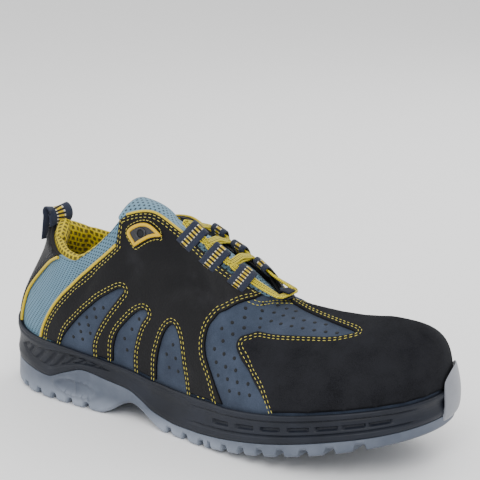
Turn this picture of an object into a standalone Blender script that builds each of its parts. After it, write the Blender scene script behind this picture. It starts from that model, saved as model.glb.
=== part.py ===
# Safety sneaker: one right shoe standing empty on its sole.
# Metres, +Z up, +X towards the toe, -Y towards the lateral (outer) side.
# An angle runs round the shoe: 0 at the heel, 180 at the toe, lateral side first.
import math

import bmesh
import bpy
import numpy as np
from mathutils import Vector
from mathutils.geometry import delaunay_2d_cdt

# Driving dimensions of the sole
SOLE_LENGTH = 0.300
HEEL_WIDTH = 0.077
BALL_WIDTH = 0.108
BUMPER_REACH = 0.0033
TOE_SPRING = 0.0245
HEEL_BEVEL = 0.007
ARCH_RISE = 0.0115
RIM_HEIGHT = 0.038
RIM_THICKNESS = 0.0034
OUTSOLE_HEIGHT = 0.025
OUTSOLE_PLATE = 0.0105
ARCH_PLATE = 0.0036
FLANGE_THICKNESS = 0.0025
HEEL_SEAT = 0.024
FOREFOOT_SEAT = 0.0195
INSOLE_THICKNESS = 0.0045

# Driving dimensions of the upper
WALL = 0.0024
COLLAR_PADDING = 0.0075
COLLAR_WIDTH = 0.062
HEEL_TAB_HEIGHT = 0.104
COLLAR_HEIGHT = 0.091
QUARTER_HEIGHT = 0.130
INNER_QUARTER_HEIGHT = 0.1145
INNER_SETBACK = 0.008
INNER_TOE_REACH = 0.80
INNER_TOE_ANGLES = (113, 120, 135, 150, 165, 180)
INNER_TOE_FALL = (0, 0.24, 0.24, 0.18, 0.08, 0.0)
THROAT_HEIGHT = 0.095
VAMP_HEIGHT = 0.083
VAMP_DIP = 0.003
TOE_CAP_HEIGHT = 0.082
FEATHER_TUCK = 0.003
OVERLAY = 0.0013
TONGUE_THICKNESS = 0.0045

# Working clearance between touching pieces, and of the panels over the curved wall
GAP = 0.0003
PANEL_LIFT = 0.0003

HALF_BALL = BALL_WIDTH / 2
HALF_HEEL = HEEL_WIDTH / 2
HALF_COLLAR = COLLAR_WIDTH / 2
CENTRE_X = (SOLE_LENGTH + BUMPER_REACH) / 2


def mix(low, high, share):
    return low + (high - low) * share


def ridge_height(share, dip):
    """Height of the ridge between the toe cap's end and the throat, with the dip behind the cap."""
    return mix(TOE_CAP_HEIGHT, VAMP_HEIGHT, share) - dip * VAMP_DIP


# Plan outline of the sole: half widths as shares of half the heel or, past the waist, half the ball
OUTLINE = (
    # angle, lateral, medial, share of ball
    (0, 0.000, 0.000, 0.0),
    (15, 0.468, 0.455, 0.0),
    (30, 0.792, 0.755, 0.0),
    (45, 0.960, 0.910, 0.0),
    (60, 1.000, 0.935, 0.0),
    (75, 0.843, 0.746, 0.5),
    (90, 0.806, 0.667, 1.0),
    (105, 0.944, 0.833, 1.0),
    (120, 1.000, 0.980, 1.0),
    (135, 0.870, 1.000, 1.0),
    (150, 0.611, 0.833, 1.0),
    (165, 0.260, 0.546, 1.0),
    (180, -0.148, 0.148, 1.0),
)

# Heights along the side: the rim over the upper and the top edge of the outsole
SIDE = (
    # angle, rim as share of RIM_HEIGHT, outsole as share of OUTSOLE_HEIGHT
    (0, 1.24, 0.76),
    (15, 1.17, 0.76),
    (30, 1.04, 0.70),
    (45, 0.99, 0.60),
    (53, 0.98, 0.82),
    (60, 0.95, 1.00),
    (68, 0.91, 0.90),
    (75, 0.87, 0.80),
    (79, 0.83, 0.62),
    (82, 0.80, 0.46),
    (85, 0.79, 0.38),
    (90, 0.77, 0.31),
    (98, 0.77, 0.33),
    (105, 0.72, 0.32),
    (120, 0.67, 0.32),
    (135, 0.64, 0.31),
    (150, 0.60, 0.28),
    (165, 0.56, 0.27),
    (180, 0.55, 0.27),
)

RIDGE_START = 113
COLLAR_DIP = 53

# Top edge of the upper: collar, quarter lobe and throat, then the ridge of the vamp and toe.
# Along is a share of SOLE_LENGTH, lateral and medial of HALF_COLLAR, out of HALF_BALL,
# lift, lean and down of the wall's own height there.
TOP = (
    # angle, along, lateral, medial, height, lift, lean, out, down
    (0, 0.079, 0.00, 0.00, HEEL_TAB_HEIGHT, 0.34, 0.010, 0.04, 0.38),
    (15, 0.093, 0.34, 0.34, mix(HEEL_TAB_HEIGHT, COLLAR_HEIGHT, 0.25), 0.33, 0.010, 0.04, 0.37),
    (30, 0.125, 0.68, 0.68, mix(HEEL_TAB_HEIGHT, COLLAR_HEIGHT, 0.62), 0.33, 0.020, 0.02, 0.35),
    (45, 0.170, 0.93, 0.93, mix(HEEL_TAB_HEIGHT, COLLAR_HEIGHT, 0.92), 0.35, 0.020, 0.02, 0.35),
    (COLLAR_DIP, 0.207, 1.00, 1.00, COLLAR_HEIGHT, 0.37, 0.020, 0.02, 0.35),
    (60, 0.253, 1.00, 1.00, mix(COLLAR_HEIGHT, QUARTER_HEIGHT, 0.20), 0.35, 0.020, 0.02, 0.32),
    (68, 0.303, 0.97, 0.97, mix(COLLAR_HEIGHT, QUARTER_HEIGHT, 0.55), 0.33, 0.025, 0.04, 0.31),
    (75, 0.347, 0.90, 0.84, mix(COLLAR_HEIGHT, QUARTER_HEIGHT, 0.90), 0.32, 0.020, 0.05, 0.32),
    (82, 0.400, 0.83, 0.72, QUARTER_HEIGHT, 0.31, 0.020, 0.07, 0.28),
    (90, 0.460, 0.73, 0.55, mix(THROAT_HEIGHT, QUARTER_HEIGHT, 0.75), 0.33, 0.030, 0.15, 0.24),
    (98, 0.530, 0.66, 0.45, mix(THROAT_HEIGHT, QUARTER_HEIGHT, 0.33), 0.36, 0.030, 0.22, 0.18),
    (105, 0.593, 0.55, 0.33, THROAT_HEIGHT, 0.38, 0.030, 0.30, 0.14),
    (110, 0.632, 0.33, 0.22, mix(VAMP_HEIGHT, THROAT_HEIGHT, 0.30), 0.42, 0.035, 0.37, 0.09),
    (113, 0.650, -0.08, 0.08, VAMP_HEIGHT, 0.45, 0.040, 0.48, 0.00),
    (120, 0.690, -0.10, 0.10, ridge_height(0.8, 0.45), 0.48, 0.040, 0.52, 0.00),
    (135, 0.772, -0.15, 0.15, ridge_height(0.5, 0.90), 0.56, 0.020, 0.48, 0.00),
    (150, 0.837, -0.20, 0.20, ridge_height(0.3, 0.70), 0.68, 0.020, 0.52, 0.00),
    (165, 0.875, -0.24, 0.24, ridge_height(0.1, 0.10), 0.76, 0.020, 0.54, 0.00),
    (180, 0.888, -0.26, 0.26, TOE_CAP_HEIGHT, 0.78, 0.013, 0.52, 0.00),
)

# Bottom of the sole: where heel, arch and forefoot end, as shares of SOLE_LENGTH
HEEL_FLAT_START = 0.09
HEEL_FLAT_END = 0.285
ARCH_TOP = 0.375
FOREFOOT_FLAT_START = 0.465
SPRING_START = 0.56
SPRING_CURVE = 1.2
SEAT_SPRING = 0.6

# Overlays on the upper: corners as angle, level up the wall, and 1 where the edge runs round
TOE_CAP_EDGE = (
    # angle, level, round
    (119.5, 0.015, 0),
    (116.0, 0.160, 1),
    (112.5, 0.290, 1),
    (109.0, 0.425, 1),
    (108.3, 0.495, 1),
    (109.5, 0.560, 1),
    (112.5, 0.588, 1),
    (119.5, 0.605, 1),
    (127.5, 0.630, 1),
    (135.0, 0.650, 1),
    (140.5, 0.690, 1),
    (142.5, 0.735, 1),
    (134.0, 0.820, 1),
    (124.0, 0.900, 1),
    (117.0, 0.965, 0),
    (114.5, 1.000, 0),
)
QUARTER_EDGE = (
    # angle, level, round
    (42.0, 0.015, 0),
    (43.5, 0.165, 1),
    (47.5, 0.420, 1),
    (54.5, 0.700, 1),
    (61.5, 0.800, 1),
    (67.5, 0.825, 1),
    (71.5, 0.830, 0),
    (72.5, 1.000, 0),
    (109.8, 1.000, 0),
    (109.3, 0.920, 0),
    (105.5, 0.725, 1),
    (102.5, 0.610, 1),
    (100.0, 0.455, 1),
    (99.5, 0.320, 1),
    (101.5, 0.175, 1),
    (104.0, 0.015, 0),
    (92.8, 0.015, 0),
    (92.5, 0.090, 1),
    (92.0, 0.205, 1),
    (91.5, 0.330, 1),
    (90.3, 0.390, 1),
    (88.8, 0.385, 1),
    (86.5, 0.320, 1),
    (84.8, 0.235, 1),
    (83.5, 0.130, 1),
    (83.0, 0.015, 0),
    (76.0, 0.015, 0),
    (76.2, 0.110, 1),
    (77.5, 0.235, 1),
    (79.3, 0.330, 1),
    (81.2, 0.390, 1),
    (80.2, 0.412, 1),
    (77.5, 0.385, 1),
    (74.5, 0.320, 1),
    (71.5, 0.240, 1),
    (70.0, 0.140, 1),
    (69.5, 0.015, 0),
    (63.0, 0.015, 0),
    (63.0, 0.115, 1),
    (65.0, 0.260, 1),
    (68.5, 0.390, 1),
    (72.5, 0.480, 1),
    (74.0, 0.515, 1),
    (72.5, 0.535, 1),
    (68.5, 0.525, 1),
    (64.0, 0.485, 1),
    (58.5, 0.370, 1),
    (53.5, 0.175, 1),
    (50.5, 0.015, 0),
)
HEEL_STRIP_EDGE = (
    # angle, level, round
    (22.0, 0.015, 0),
    (22.5, 0.150, 1),
    (21.5, 0.400, 1),
    (27.0, 0.670, 1),
    (35.0, 0.860, 1),
    (44.0, 1.000, 0),
)
HEEL_PIPING = HEEL_STRIP_EDGE
QUARTER_PIPING = QUARTER_EDGE[:7]
PIPING_RADIUS = 0.0009
EYELET_FRAME = (
    # angle, level, round
    (76.2, 0.885, 1),
    (78.2, 0.785, 0),
    (86.0, 0.870, 0),
    (80.8, 0.915, 1),
)
EYELET_PLATE = 0.0009

# Webbing lace loops on the throat edge, the lace through them, and the loop at the heel
LOOP_ANGLES = (93.0, 98.6, 104.9)
LOOP_WIDTH = 0.0112
LOOP_REACH = 0.0098
LOOP_OPENING = 0.0026
WEBBING_THICKNESS = 0.0011
BASE_LOOP_WIDTH = 0.0074
BASE_LOOP_SHIFT = 0.0030
BASE_LOOP_REACH = 0.008
LACE_WIDTH = 0.0044
LACE_THICKNESS = 0.0016
PULL_WIDTH = 0.0165
PULL_THICKNESS = 0.0016
PULL_LENGTH = 0.0075
PULL_INSET = 0.0140
BASE_LOOP_ANGLE = 117.5
LACE_SEAT = 0.0050
LACE_BEND = 0.0028
LACE_PINCH = 0.30
LACE_ARCH = 0.0008
LACE_TOP_RUN = 0.0032
LACE_CLEAR = 0.50
LACE_TAKEN = 0.92
LACE_ROUND = (0, 0.3, 0.7, 1)
BASE_LACE_SEAT = 0.48
BASE_LACE_RUN = 0.0050
TONGUE_SHOULDER = 0.0006

# Feet of the pull loop: level and gap to the strip outside, levels inside; its top: over, across and above the heel tab as shares of PULL_LENGTH
PULL_TOP = ((-0.72, -0.25, 0.30), (-0.05, -0.55, 0.66), (0.45, 0.55, 0.66), (1.45, 0.27, 0.20))
PULL_TURNS = (90, 94, 130, 170, 170, 130, 98, 90)
PULL_FOOT = ((0.78, 0.0005), (0.90, 0.0020))
PULL_END = (0.95, 0.86)

# Tongue between the throat edges: rows from the vamp up, and free rows above the collar
TONGUE_HEIGHT = 0.127
TONGUE_ROWS = (
    # angle, along, crown over the throat edge as share of TONGUE_THICKNESS, edge level
    (118.0, 0.683, -2.15, 0.80),
    (113.0, 0.650, -1.95, 0.80),
    (109.0, 0.618, -0.90, 0.82),
    (104.0, 0.583, -0.35, 0.84),
    (99.0, 0.540, -0.35, 0.84),
    (94.0, 0.497, -0.45, 0.84),
    (89.0, 0.453, -0.60, 0.86),
    (84.5, 0.413, -1.50, 0.88),
    (80.0, 0.377, -1.30, 0.88),
)
TONGUE_TIP = (
    # along, height below TONGUE_HEIGHT, half width and drop as shares of HALF_COLLAR
    (0.352, 0.0035, 0.60, 0.30),
    (0.325, 0.0008, 0.62, 0.30),
    (0.302, 0.0000, 0.60, 0.29),
)

TONGUE_ARC = (0, 0.35, 0.68)
TONGUE_ROUND = 0.55
TONGUE_RISE = 0.6
TIP_SHARES = (-1, -0.86, -0.62, -0.32, 0, 0.32, 0.62, 0.86, 1)

WALL_ROWS = 9
COLUMN_SPAN = 7.5


def table_columns(rows):
    return [np.array(column, float) for column in zip(*rows)]


def both_sides(angles, lateral, medial):
    """One closed run of knots: lateral from heel to toe, then medial back to the heel."""
    knots = np.concatenate([angles, 360 - angles[-2:0:-1]])
    values = np.concatenate([lateral, medial[-2:0:-1]])
    return knots, values


def hermite(knots, values, slopes, at):
    at = np.mod(np.asarray(at, float), 360)
    index = np.searchsorted(knots, at, side="right") - 1
    after = (index + 1) % len(knots)
    width = np.mod(knots[after] - knots[index], 360)
    share = (at - knots[index]) / width
    square = share * share
    cube = square * share
    return ((2 * cube - 3 * square + 1) * values[index]
            + (cube - 2 * square + share) * width * slopes[index]
            + (3 * square - 2 * cube) * values[after]
            + (cube - square) * width * slopes[after])


def smooth_loop(knots, values):
    """Closed cubic spline with continuous curvature."""
    width = np.mod(np.roll(knots, -1) - knots, 360)
    before = np.roll(width, 1)
    grade = (np.roll(values, -1) - values) / width
    count = len(knots)
    system = np.zeros((count, count))
    for i in range(count):
        system[i, i - 1] = width[i]
        system[i, i] = 2 * (before[i] + width[i])
        system[i, (i + 1) % count] = before[i]
    slopes = np.linalg.solve(system, 3 * (width * np.roll(grade, 1) + before * grade))
    return lambda at: hermite(knots, values, slopes, at)


def steady_loop(knots, values):
    """Closed cubic curve that never swings past its own knots."""
    width = np.mod(np.roll(knots, -1) - knots, 360)
    grade = (np.roll(values, -1) - values) / width
    last = np.roll(grade, 1)
    before = np.roll(width, 1)
    same = last * grade > 0
    safe_last = np.where(same, last, 1)
    safe_grade = np.where(same, grade, 1)
    weight_last = 2 * width + before
    weight_next = width + 2 * before
    mean = (weight_last + weight_next) / (weight_last / safe_last + weight_next / safe_grade)
    slopes = np.where(same, mean, 0)
    return lambda at: hermite(knots, values, slopes, at)


def make_outline():
    angle, lateral, medial, ball = table_columns(OUTLINE)
    half = mix(HALF_HEEL, HALF_BALL, ball)
    return smooth_loop(*both_sides(angle, -lateral * half, medial * half))


outline_y = make_outline()


def outline(angle, inset=0.0):
    """Plan points of the sole's edge, moved inwards by the inset."""
    turn = np.radians(angle)
    x = SOLE_LENGTH / 2 * (1 - np.cos(turn)) - CENTRE_X
    y = outline_y(angle)
    normal = outline_normal(angle)
    return np.stack([x, y], -1) - normal * np.asarray(inset)[..., None]


def outline_normal(angle):
    step = 0.5
    ahead = np.radians(np.asarray(angle) + step)
    back = np.radians(np.asarray(angle) - step)
    run = SOLE_LENGTH / 2 * (np.cos(back) - np.cos(ahead))
    rise = outline_y(angle + step) - outline_y(angle - step)
    length = np.hypot(run, rise)
    return np.stack([rise / length, -run / length], -1)


def spring(x):
    """Rise of the forefoot towards the toe at a place along the shoe."""
    along = (np.asarray(x) + CENTRE_X) / SOLE_LENGTH
    share = np.clip((along - SPRING_START) / (1 - SPRING_START), 0, 1.05)
    return TOE_SPRING * share ** SPRING_CURVE


def smooth_step(low, high, value):
    share = np.clip((value - low) / (high - low), 0, 1)
    return share * share * (3 - 2 * share)


def bottom_height(x):
    """Underside of the sole: rounded heel edge, arch and toe spring."""
    along = (np.asarray(x) + CENTRE_X) / SOLE_LENGTH
    heel = HEEL_BEVEL * np.clip(1 - along / HEEL_FLAT_START, 0, 1.2) ** 2
    arch = ARCH_RISE * (smooth_step(HEEL_FLAT_END, ARCH_TOP, along)
                        - smooth_step(ARCH_TOP, FOREFOOT_FLAT_START, along))
    return heel + arch + spring(x)


def seat_height(x):
    """Floor inside the shoe that carries the insole and the upper's lower edge."""
    along = (np.asarray(x) + CENTRE_X) / SOLE_LENGTH
    level = mix(HEEL_SEAT, FOREFOOT_SEAT, smooth_step(HEEL_FLAT_END, FOREFOOT_FLAT_START, along))
    return level + SEAT_SPRING * spring(x)


def make_side():
    angle, rim, outsole = table_columns(SIDE)
    return (steady_loop(*both_sides(angle, rim, rim)),
            steady_loop(*both_sides(angle, outsole, outsole)))


rim_share, outsole_share = make_side()


def rim_height(angle):
    return rim_share(angle) * RIM_HEIGHT + spring(outline(angle)[..., 0])


def outsole_edge(angle):
    return outsole_share(angle) * OUTSOLE_HEIGHT + spring(outline(angle)[..., 0])


def make_top():
    angle, along, lateral, medial, height, lift, lean, out, down = table_columns(TOP)
    # The inner lobe of the quarter stands lower and further back than the outer one
    lobe = np.clip((height - THROAT_HEIGHT) / (QUARTER_HEIGHT - THROAT_HEIGHT), 0, 1) * (angle > COLLAR_DIP)
    inner_height = height - (QUARTER_HEIGHT - INNER_QUARTER_HEIGHT) * lobe
    outer_along = along * SOLE_LENGTH
    # From the ridge of the toe the inner side falls away sooner
    fall = np.interp(angle, INNER_TOE_ANGLES, INNER_TOE_FALL)
    inner_reach = mix(1.0, INNER_TOE_REACH, fall / max(INNER_TOE_FALL))
    return {
        "along": steady_loop(*both_sides(angle, outer_along, outer_along - INNER_SETBACK * lobe)),
        "across": steady_loop(*both_sides(angle, -lateral * HALF_COLLAR, medial * HALF_COLLAR)),
        "height": steady_loop(*both_sides(angle, height, inner_height)),
        "lift": steady_loop(*both_sides(angle, lift, lift)),
        "lean": steady_loop(*both_sides(angle, lean, lean)),
        "out": steady_loop(*both_sides(angle, out * HALF_BALL, out * HALF_BALL * inner_reach)),
        "down": steady_loop(*both_sides(angle, down, down + fall)),
    }


top = make_top()


def wall_point(angle, level):
    """Outer face of the upper: level 0 at the sole's rim, 1 at the top edge, -1 at the seat."""
    angle, level = np.broadcast_arrays(np.asarray(angle, float), np.asarray(level, float))
    foot = np.concatenate([outline(angle, np.full(angle.shape, RIM_THICKNESS)),
                           rim_height(angle)[..., None]], -1)
    crest = np.stack([top["along"](angle) - CENTRE_X, top["across"](angle), top["height"](angle)], -1)
    height = (crest - foot)[..., 2:]
    side = np.concatenate([outline_normal(angle), np.zeros(angle.shape + (1,))], -1)
    up = np.array([0, 0, 1.0])
    low = foot + up * height * top["lift"](angle)[..., None] + side * height * top["lean"](angle)[..., None]
    high = crest + side * top["out"](angle)[..., None] - up * height * top["down"](angle)[..., None]
    share = np.clip(level, 0, None)[..., None]
    rest = 1 - share
    point = rest ** 3 * foot + 3 * rest ** 2 * share * low + 3 * rest * share ** 2 * high + share ** 3 * crest
    # Below the rim the wall tucks in towards the seat
    sunk = np.clip(-level, 0, None)[..., None]
    seat_place = outline(angle, np.full(angle.shape, RIM_THICKNESS + FEATHER_TUCK))
    seat = seat_height(seat_place[..., 0])[..., None] + GAP
    point = point - side * FEATHER_TUCK * sunk ** 2 - up * (foot[..., 2:] - seat) * sunk
    return point


def wall_normal(angle, level):
    step_angle = 0.5
    step_level = 0.01
    level = np.asarray(level, float)
    along = wall_point(angle + step_angle, level) - wall_point(angle - step_angle, level)
    upper_level = np.where(level < 0, np.minimum(level + step_level, 0), level + step_level)
    rise = wall_point(angle, upper_level) - wall_point(angle, np.where(level > 0, level - step_level, level))
    normal = np.cross(along, rise)
    return normal / np.linalg.norm(normal, axis=-1, keepdims=True)


def column_angles():
    """A column for each row of the top table and between rows that lie wide apart, on both sides."""
    rows = [row[0] for row in TOP]
    half = []
    for i in range(len(rows) - 1):
        half.append(rows[i])
        if rows[i + 1] - rows[i] > COLUMN_SPAN:
            half.append((rows[i] + rows[i + 1]) / 2)
    half.append(rows[-1])
    return np.array(half + [360 - a for a in half[-2:0:-1]], float)


ANGLES = column_angles()
COLUMNS = len(ANGLES)
LEVELS = np.concatenate([[-1, -0.5], np.linspace(0, 1, WALL_ROWS)])

# Scene and materials

def clear_scene():
    for obj in list(bpy.data.objects):
        bpy.data.objects.remove(obj, do_unlink=True)
    for group in list(bpy.data.collections):
        bpy.data.collections.remove(group)


clear_scene()
shoe = bpy.data.collections.new("safety_sneaker")
tools = bpy.data.collections.new("cutters")
bpy.context.scene.collection.children.link(shoe)
bpy.context.scene.collection.children.link(tools)


def finish(name, colour, roughness, metallic=0.0):
    material = bpy.data.materials.new(name)
    material.use_nodes = True
    shader = material.node_tree.nodes["Principled BSDF"]
    shader.inputs["Base Color"].default_value = (*colour, 1)
    shader.inputs["Roughness"].default_value = roughness
    shader.inputs["Metallic"].default_value = metallic
    return material


suede_blue = finish("blue_grey_suede", (0.075, 0.105, 0.155), 0.9)
suede_black = finish("black_suede", (0.012, 0.012, 0.013), 0.92)
leather_black = finish("black_leather", (0.012, 0.012, 0.013), 0.5)
mesh_blue = finish("light_blue_mesh", (0.23, 0.33, 0.40), 0.85)
yellow_trim = finish("yellow_trim", (0.75, 0.52, 0.01), 0.7)
midsole_foam = finish("navy_midsole", (0.013, 0.018, 0.030), 0.6)
outsole_rubber = finish("translucent_outsole", (0.25, 0.28, 0.33), 0.4)
webbing = finish("striped_webbing", (0.30, 0.25, 0.06), 0.8)
lace_yarn = finish("yellow_lace", (0.62, 0.43, 0.02), 0.8)
insole_foam = finish("grey_insole", (0.05, 0.06, 0.08), 0.9)


def solid(name, points, faces, material, collection=shoe):
    mesh = bpy.data.meshes.new(name)
    mesh.from_pydata([tuple(p) for p in points], [], faces)
    work = bmesh.new()
    work.from_mesh(mesh)
    bmesh.ops.remove_doubles(work, verts=work.verts, dist=0.00001)
    bmesh.ops.recalc_face_normals(work, faces=work.faces)
    work.to_mesh(mesh)
    work.free()
    if material:
        mesh.materials.append(material)
    obj = bpy.data.objects.new(name, mesh)
    collection.objects.link(obj)
    mesh.shade_smooth()
    mesh.set_sharp_from_angle(angle=math.radians(35))
    return obj


def ring(inset, height):
    """A closed run of points round the shoe at an inset from the outline."""
    flat = outline(ANGLES, np.full(COLUMNS, inset))
    return np.concatenate([flat, np.asarray(height)[:, None]], -1)


def ring_x(inset):
    return outline(ANGLES, np.full(COLUMNS, inset))[:, 0]


def ring_faces(rings):
    faces = []
    for row in range(rings - 1):
        for i in range(COLUMNS):
            j = (i + 1) % COLUMNS
            corner, across = row * COLUMNS + i, (row + 1) * COLUMNS + j
            faces.append((corner, row * COLUMNS + j, across))
            faces.append((corner, across, (row + 1) * COLUMNS + i))
    return faces


def ladder(row):
    """Faces across the shoe that close one ring from side to side."""
    start = row * COLUMNS
    half = COLUMNS // 2
    faces = []
    for i in range(half):
        far = start + (COLUMNS - i) % COLUMNS
        faces.append((start + i, start + i + 1, start + (COLUMNS - i - 1) % COLUMNS, far))
    return [tuple(dict.fromkeys(face)) for face in faces]


def ring_solid(name, rings, material):
    points = np.concatenate(rings)
    faces = ring_faces(len(rings)) + ladder(0) + ladder(len(rings) - 1)
    return solid(name, points, faces, material)


# Sole

CHAMFER = 0.0025
FLANGE_STEP = 0.0015
RIM_DIP = 0.0006
GROOVE_PITCH = 0.0135
GROOVE_WIDTH = 0.0042
GROOVE_DEPTH = 0.0042
HEEL_GROOVES = 5
FOREFOOT_GROOVES = 11


def plate_top(x):
    return np.maximum(OUTSOLE_PLATE + spring(x), bottom_height(x) + ARCH_PLATE)


def interface_rings(lift):
    """Flange and plate where the midsole sits in the outsole, raised by the lift."""
    edge = outsole_edge(ANGLES) + lift
    inner = FLANGE_THICKNESS + FLANGE_STEP + lift
    plate = np.minimum(plate_top(ring_x(inner)), edge - RIM_DIP - lift) + lift
    return ring(FLANGE_THICKNESS + lift, edge), ring(inner, plate)


def apply_boolean(target, cutter, operation):
    modifier = target.modifiers.new(cutter.name, "BOOLEAN")
    modifier.operation = operation
    modifier.object = cutter
    modifier.use_self = operation == "DIFFERENCE"
    cutter.hide_render = True
    cutter.display_type = "WIRE"
    return modifier


def box_points(centre, along, across, up, size):
    half = [np.asarray(axis) * length / 2 for axis, length in zip((along, across, up), size)]
    points = []
    for a in (-1, 1):
        for b in (-1, 1):
            for c in (-1, 1):
                points.append(centre + a * half[0] + b * half[1] + c * half[2])
    return points


BOX_FACES = ((0, 1, 3, 2), (4, 6, 7, 5), (0, 4, 5, 1), (2, 3, 7, 6), (0, 2, 6, 4), (1, 5, 7, 3))


def boxes(name, box_list):
    points = []
    faces = []
    for box in box_list:
        start = len(points)
        points += box
        faces += [tuple(start + k for k in face) for face in BOX_FACES]
    cutter = solid(name, points, faces, None, tools)
    return cutter


def groove_box(x, sweep):
    z = float(bottom_height(x))
    slope = float(bottom_height(x + 0.001) - bottom_height(x - 0.001)) / 0.002
    length = math.hypot(1, slope)
    along = np.array([1, 0, slope]) / length
    up = np.array([-slope, 0, 1]) / length
    across = np.array([math.sin(sweep), math.cos(sweep), 0])
    along = along * math.cos(sweep) - np.array([0, 1, 0]) * math.sin(sweep)
    size = (GROOVE_WIDTH, 2 * BALL_WIDTH, 2 * GROOVE_DEPTH)
    return box_points(np.array([x, 0, z]), along, across, up, size)


def lug_grooves():
    heel_start = HEEL_FLAT_START * SOLE_LENGTH - CENTRE_X - GROOVE_WIDTH
    fore_start = FOREFOOT_FLAT_START * SOLE_LENGTH - CENTRE_X + GROOVE_WIDTH
    cuts = [groove_box(heel_start + i * GROOVE_PITCH, 0) for i in range(HEEL_GROOVES)]
    cuts += [groove_box(fore_start + i * GROOVE_PITCH, math.radians(-9)) for i in range(FOREFOOT_GROOVES)]
    return boxes("lug_grooves", cuts)


BUMPER_ANGLE = 192
BUMPER_SPAN = 13
BUMPER_LEVEL = 0.22
BUMPER_ROWS = (0.3, 0.65, 1.0)
BUMPER_FOOT = 0.04
BUMPER_TAPER = 0.7


def make_bumper():
    """Rubber tongue that rises from the outsole in front of the toe."""
    angles = np.linspace(BUMPER_ANGLE - BUMPER_SPAN, BUMPER_ANGLE + BUMPER_SPAN, 7)
    thick = BUMPER_REACH - GAP
    columns = []
    for angle in angles:
        edge = float(outsole_edge(angle))
        share = math.sqrt(max(0.0, 1 - ((angle - BUMPER_ANGLE) / (BUMPER_SPAN * 1.04)) ** 2))
        rim = float(rim_height(angle))
        inner = []
        for inset, z in ((FLANGE_THICKNESS / 2, edge - CHAMFER), (FLANGE_THICKNESS / 2, edge - 4 * GAP),
                         (-GAP, edge - 3 * GAP), (-GAP, rim)):
            inner.append(np.append(outline(angle, np.array(inset)), z))
        for part in BUMPER_ROWS:
            level = BUMPER_FOOT + BUMPER_LEVEL * share * part
            point = on_wall(angle, level, OVERLAY + 8 * GAP)
            inner.append(point)
        side = np.append(outline_normal(angle), 0)
        outer = []
        for i, point in enumerate(inner):
            reach = thick * (1.0 if i < len(inner) - 1 else BUMPER_TAPER)
            base = np.append(outline(angle, np.array(-GAP)), point[2]) if i < 4 else point
            outer.append(base + side * reach)
        columns.append(inner + outer[::-1])
    count = len(columns[0])
    points = [p for column in columns for p in column]
    faces = []
    for i in range(len(columns) - 1):
        for k in range(count):
            m = (k + 1) % count
            faces.append((i * count + k, i * count + m, (i + 1) * count + m, (i + 1) * count + k))
    faces.append(tuple(range(count)))
    faces.append(tuple((len(columns) - 1) * count + k for k in range(count)))
    return solid("bumper_blank", points, faces, None, tools)


def make_outsole():
    edge = outsole_edge(ANGLES)
    flange, plate = interface_rings(0.0)
    rings = [
        ring(CHAMFER, bottom_height(ring_x(CHAMFER))),
        ring(0, bottom_height(ring_x(0)) + CHAMFER),
        ring(0.0005, edge),
        flange,
        plate,
    ]
    outsole = ring_solid("outsole", rings, outsole_rubber)
    apply_boolean(outsole, lug_grooves(), "DIFFERENCE")
    apply_boolean(outsole, make_bumper(), "UNION")
    return outsole


MIDSOLE_SIDE = (
    # share of height between outsole and rim, inset
    (0.0, 0.0005),
    (0.2, 0.0000),
    (0.52, 0.0012),
    (0.9, 0.0000),
    (1.0, 0.0012),
)
SLOT_SIZE = (0.0125, 0.0022, 0.0024)
RIB_SIZE = (0.0022, 0.012, 0.0024)
SLOT_ANGLES = (117, 122.5, 128, 133.5, 139, 144.5)
RIB_ANGLES = (51, 54, 57, 60, 63)
SLOT_SHARE = 0.52
RIB_SHARE = 0.55
RIB_TAPER = 0.14
RIB_LEAN = 28


def side_box(angle, share, size, lean):
    place = outline(angle, np.array(0.0))
    normal = np.append(outline_normal(angle), 0)
    rise = float(rim_height(angle + 1) - rim_height(angle - 1))
    run = outline(angle + 1) - outline(angle - 1)
    along = np.append(run, rise)
    along = along / np.linalg.norm(along)
    up = np.cross(along, normal) * -1
    z = mix(float(outsole_edge(angle)), float(rim_height(angle)), share)
    turned = along * math.cos(lean) + up * math.sin(lean)
    raised = up * math.cos(lean) - along * math.sin(lean)
    return box_points(np.append(place, z), turned, raised, normal, size)


def side_recesses():
    """Slim slots along the forefoot and slanted bars at the heel, on both sides."""
    cuts = []
    for mirror in (False, True):
        for angle in SLOT_ANGLES:
            cuts.append(side_box(360 - angle if mirror else angle, SLOT_SHARE, SLOT_SIZE, 0.0))
        for i, angle in enumerate(RIB_ANGLES):
            length = RIB_SIZE[1] * (1 - RIB_TAPER * i)
            lean = math.radians(RIB_LEAN if mirror else -RIB_LEAN)
            size = (RIB_SIZE[0], length, RIB_SIZE[2])
            cuts.append(side_box(360 - angle if mirror else angle, RIB_SHARE, size, lean))
    return boxes("side_recesses", cuts)


def make_midsole():
    flange, plate = interface_rings(GAP)
    edge = outsole_edge(ANGLES) + GAP
    rim = rim_height(ANGLES)
    rings = [plate, flange]
    rings += [ring(inset, mix(edge, rim, share)) for share, inset in MIDSOLE_SIDE]
    wall = RIM_THICKNESS - GAP
    seat = seat_height(ring_x(wall + FEATHER_TUCK))
    rings.append(ring(wall, rim - RIM_DIP))
    rings.append(ring(wall + FEATHER_TUCK / 4, mix(rim, seat, 0.5)))
    rings.append(ring(wall + FEATHER_TUCK, seat))
    midsole = ring_solid("midsole", rings[::-1], midsole_foam)
    apply_boolean(midsole, side_recesses(), "DIFFERENCE")
    return midsole


def make_insole():
    inset = RIM_THICKNESS + FEATHER_TUCK + WALL + 2 * GAP
    low = seat_height(ring_x(inset)) + GAP
    return ring_solid("insole", [ring(inset, low), ring(inset, low + INSOLE_THICKNESS)], insole_foam)


# Upper

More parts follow.
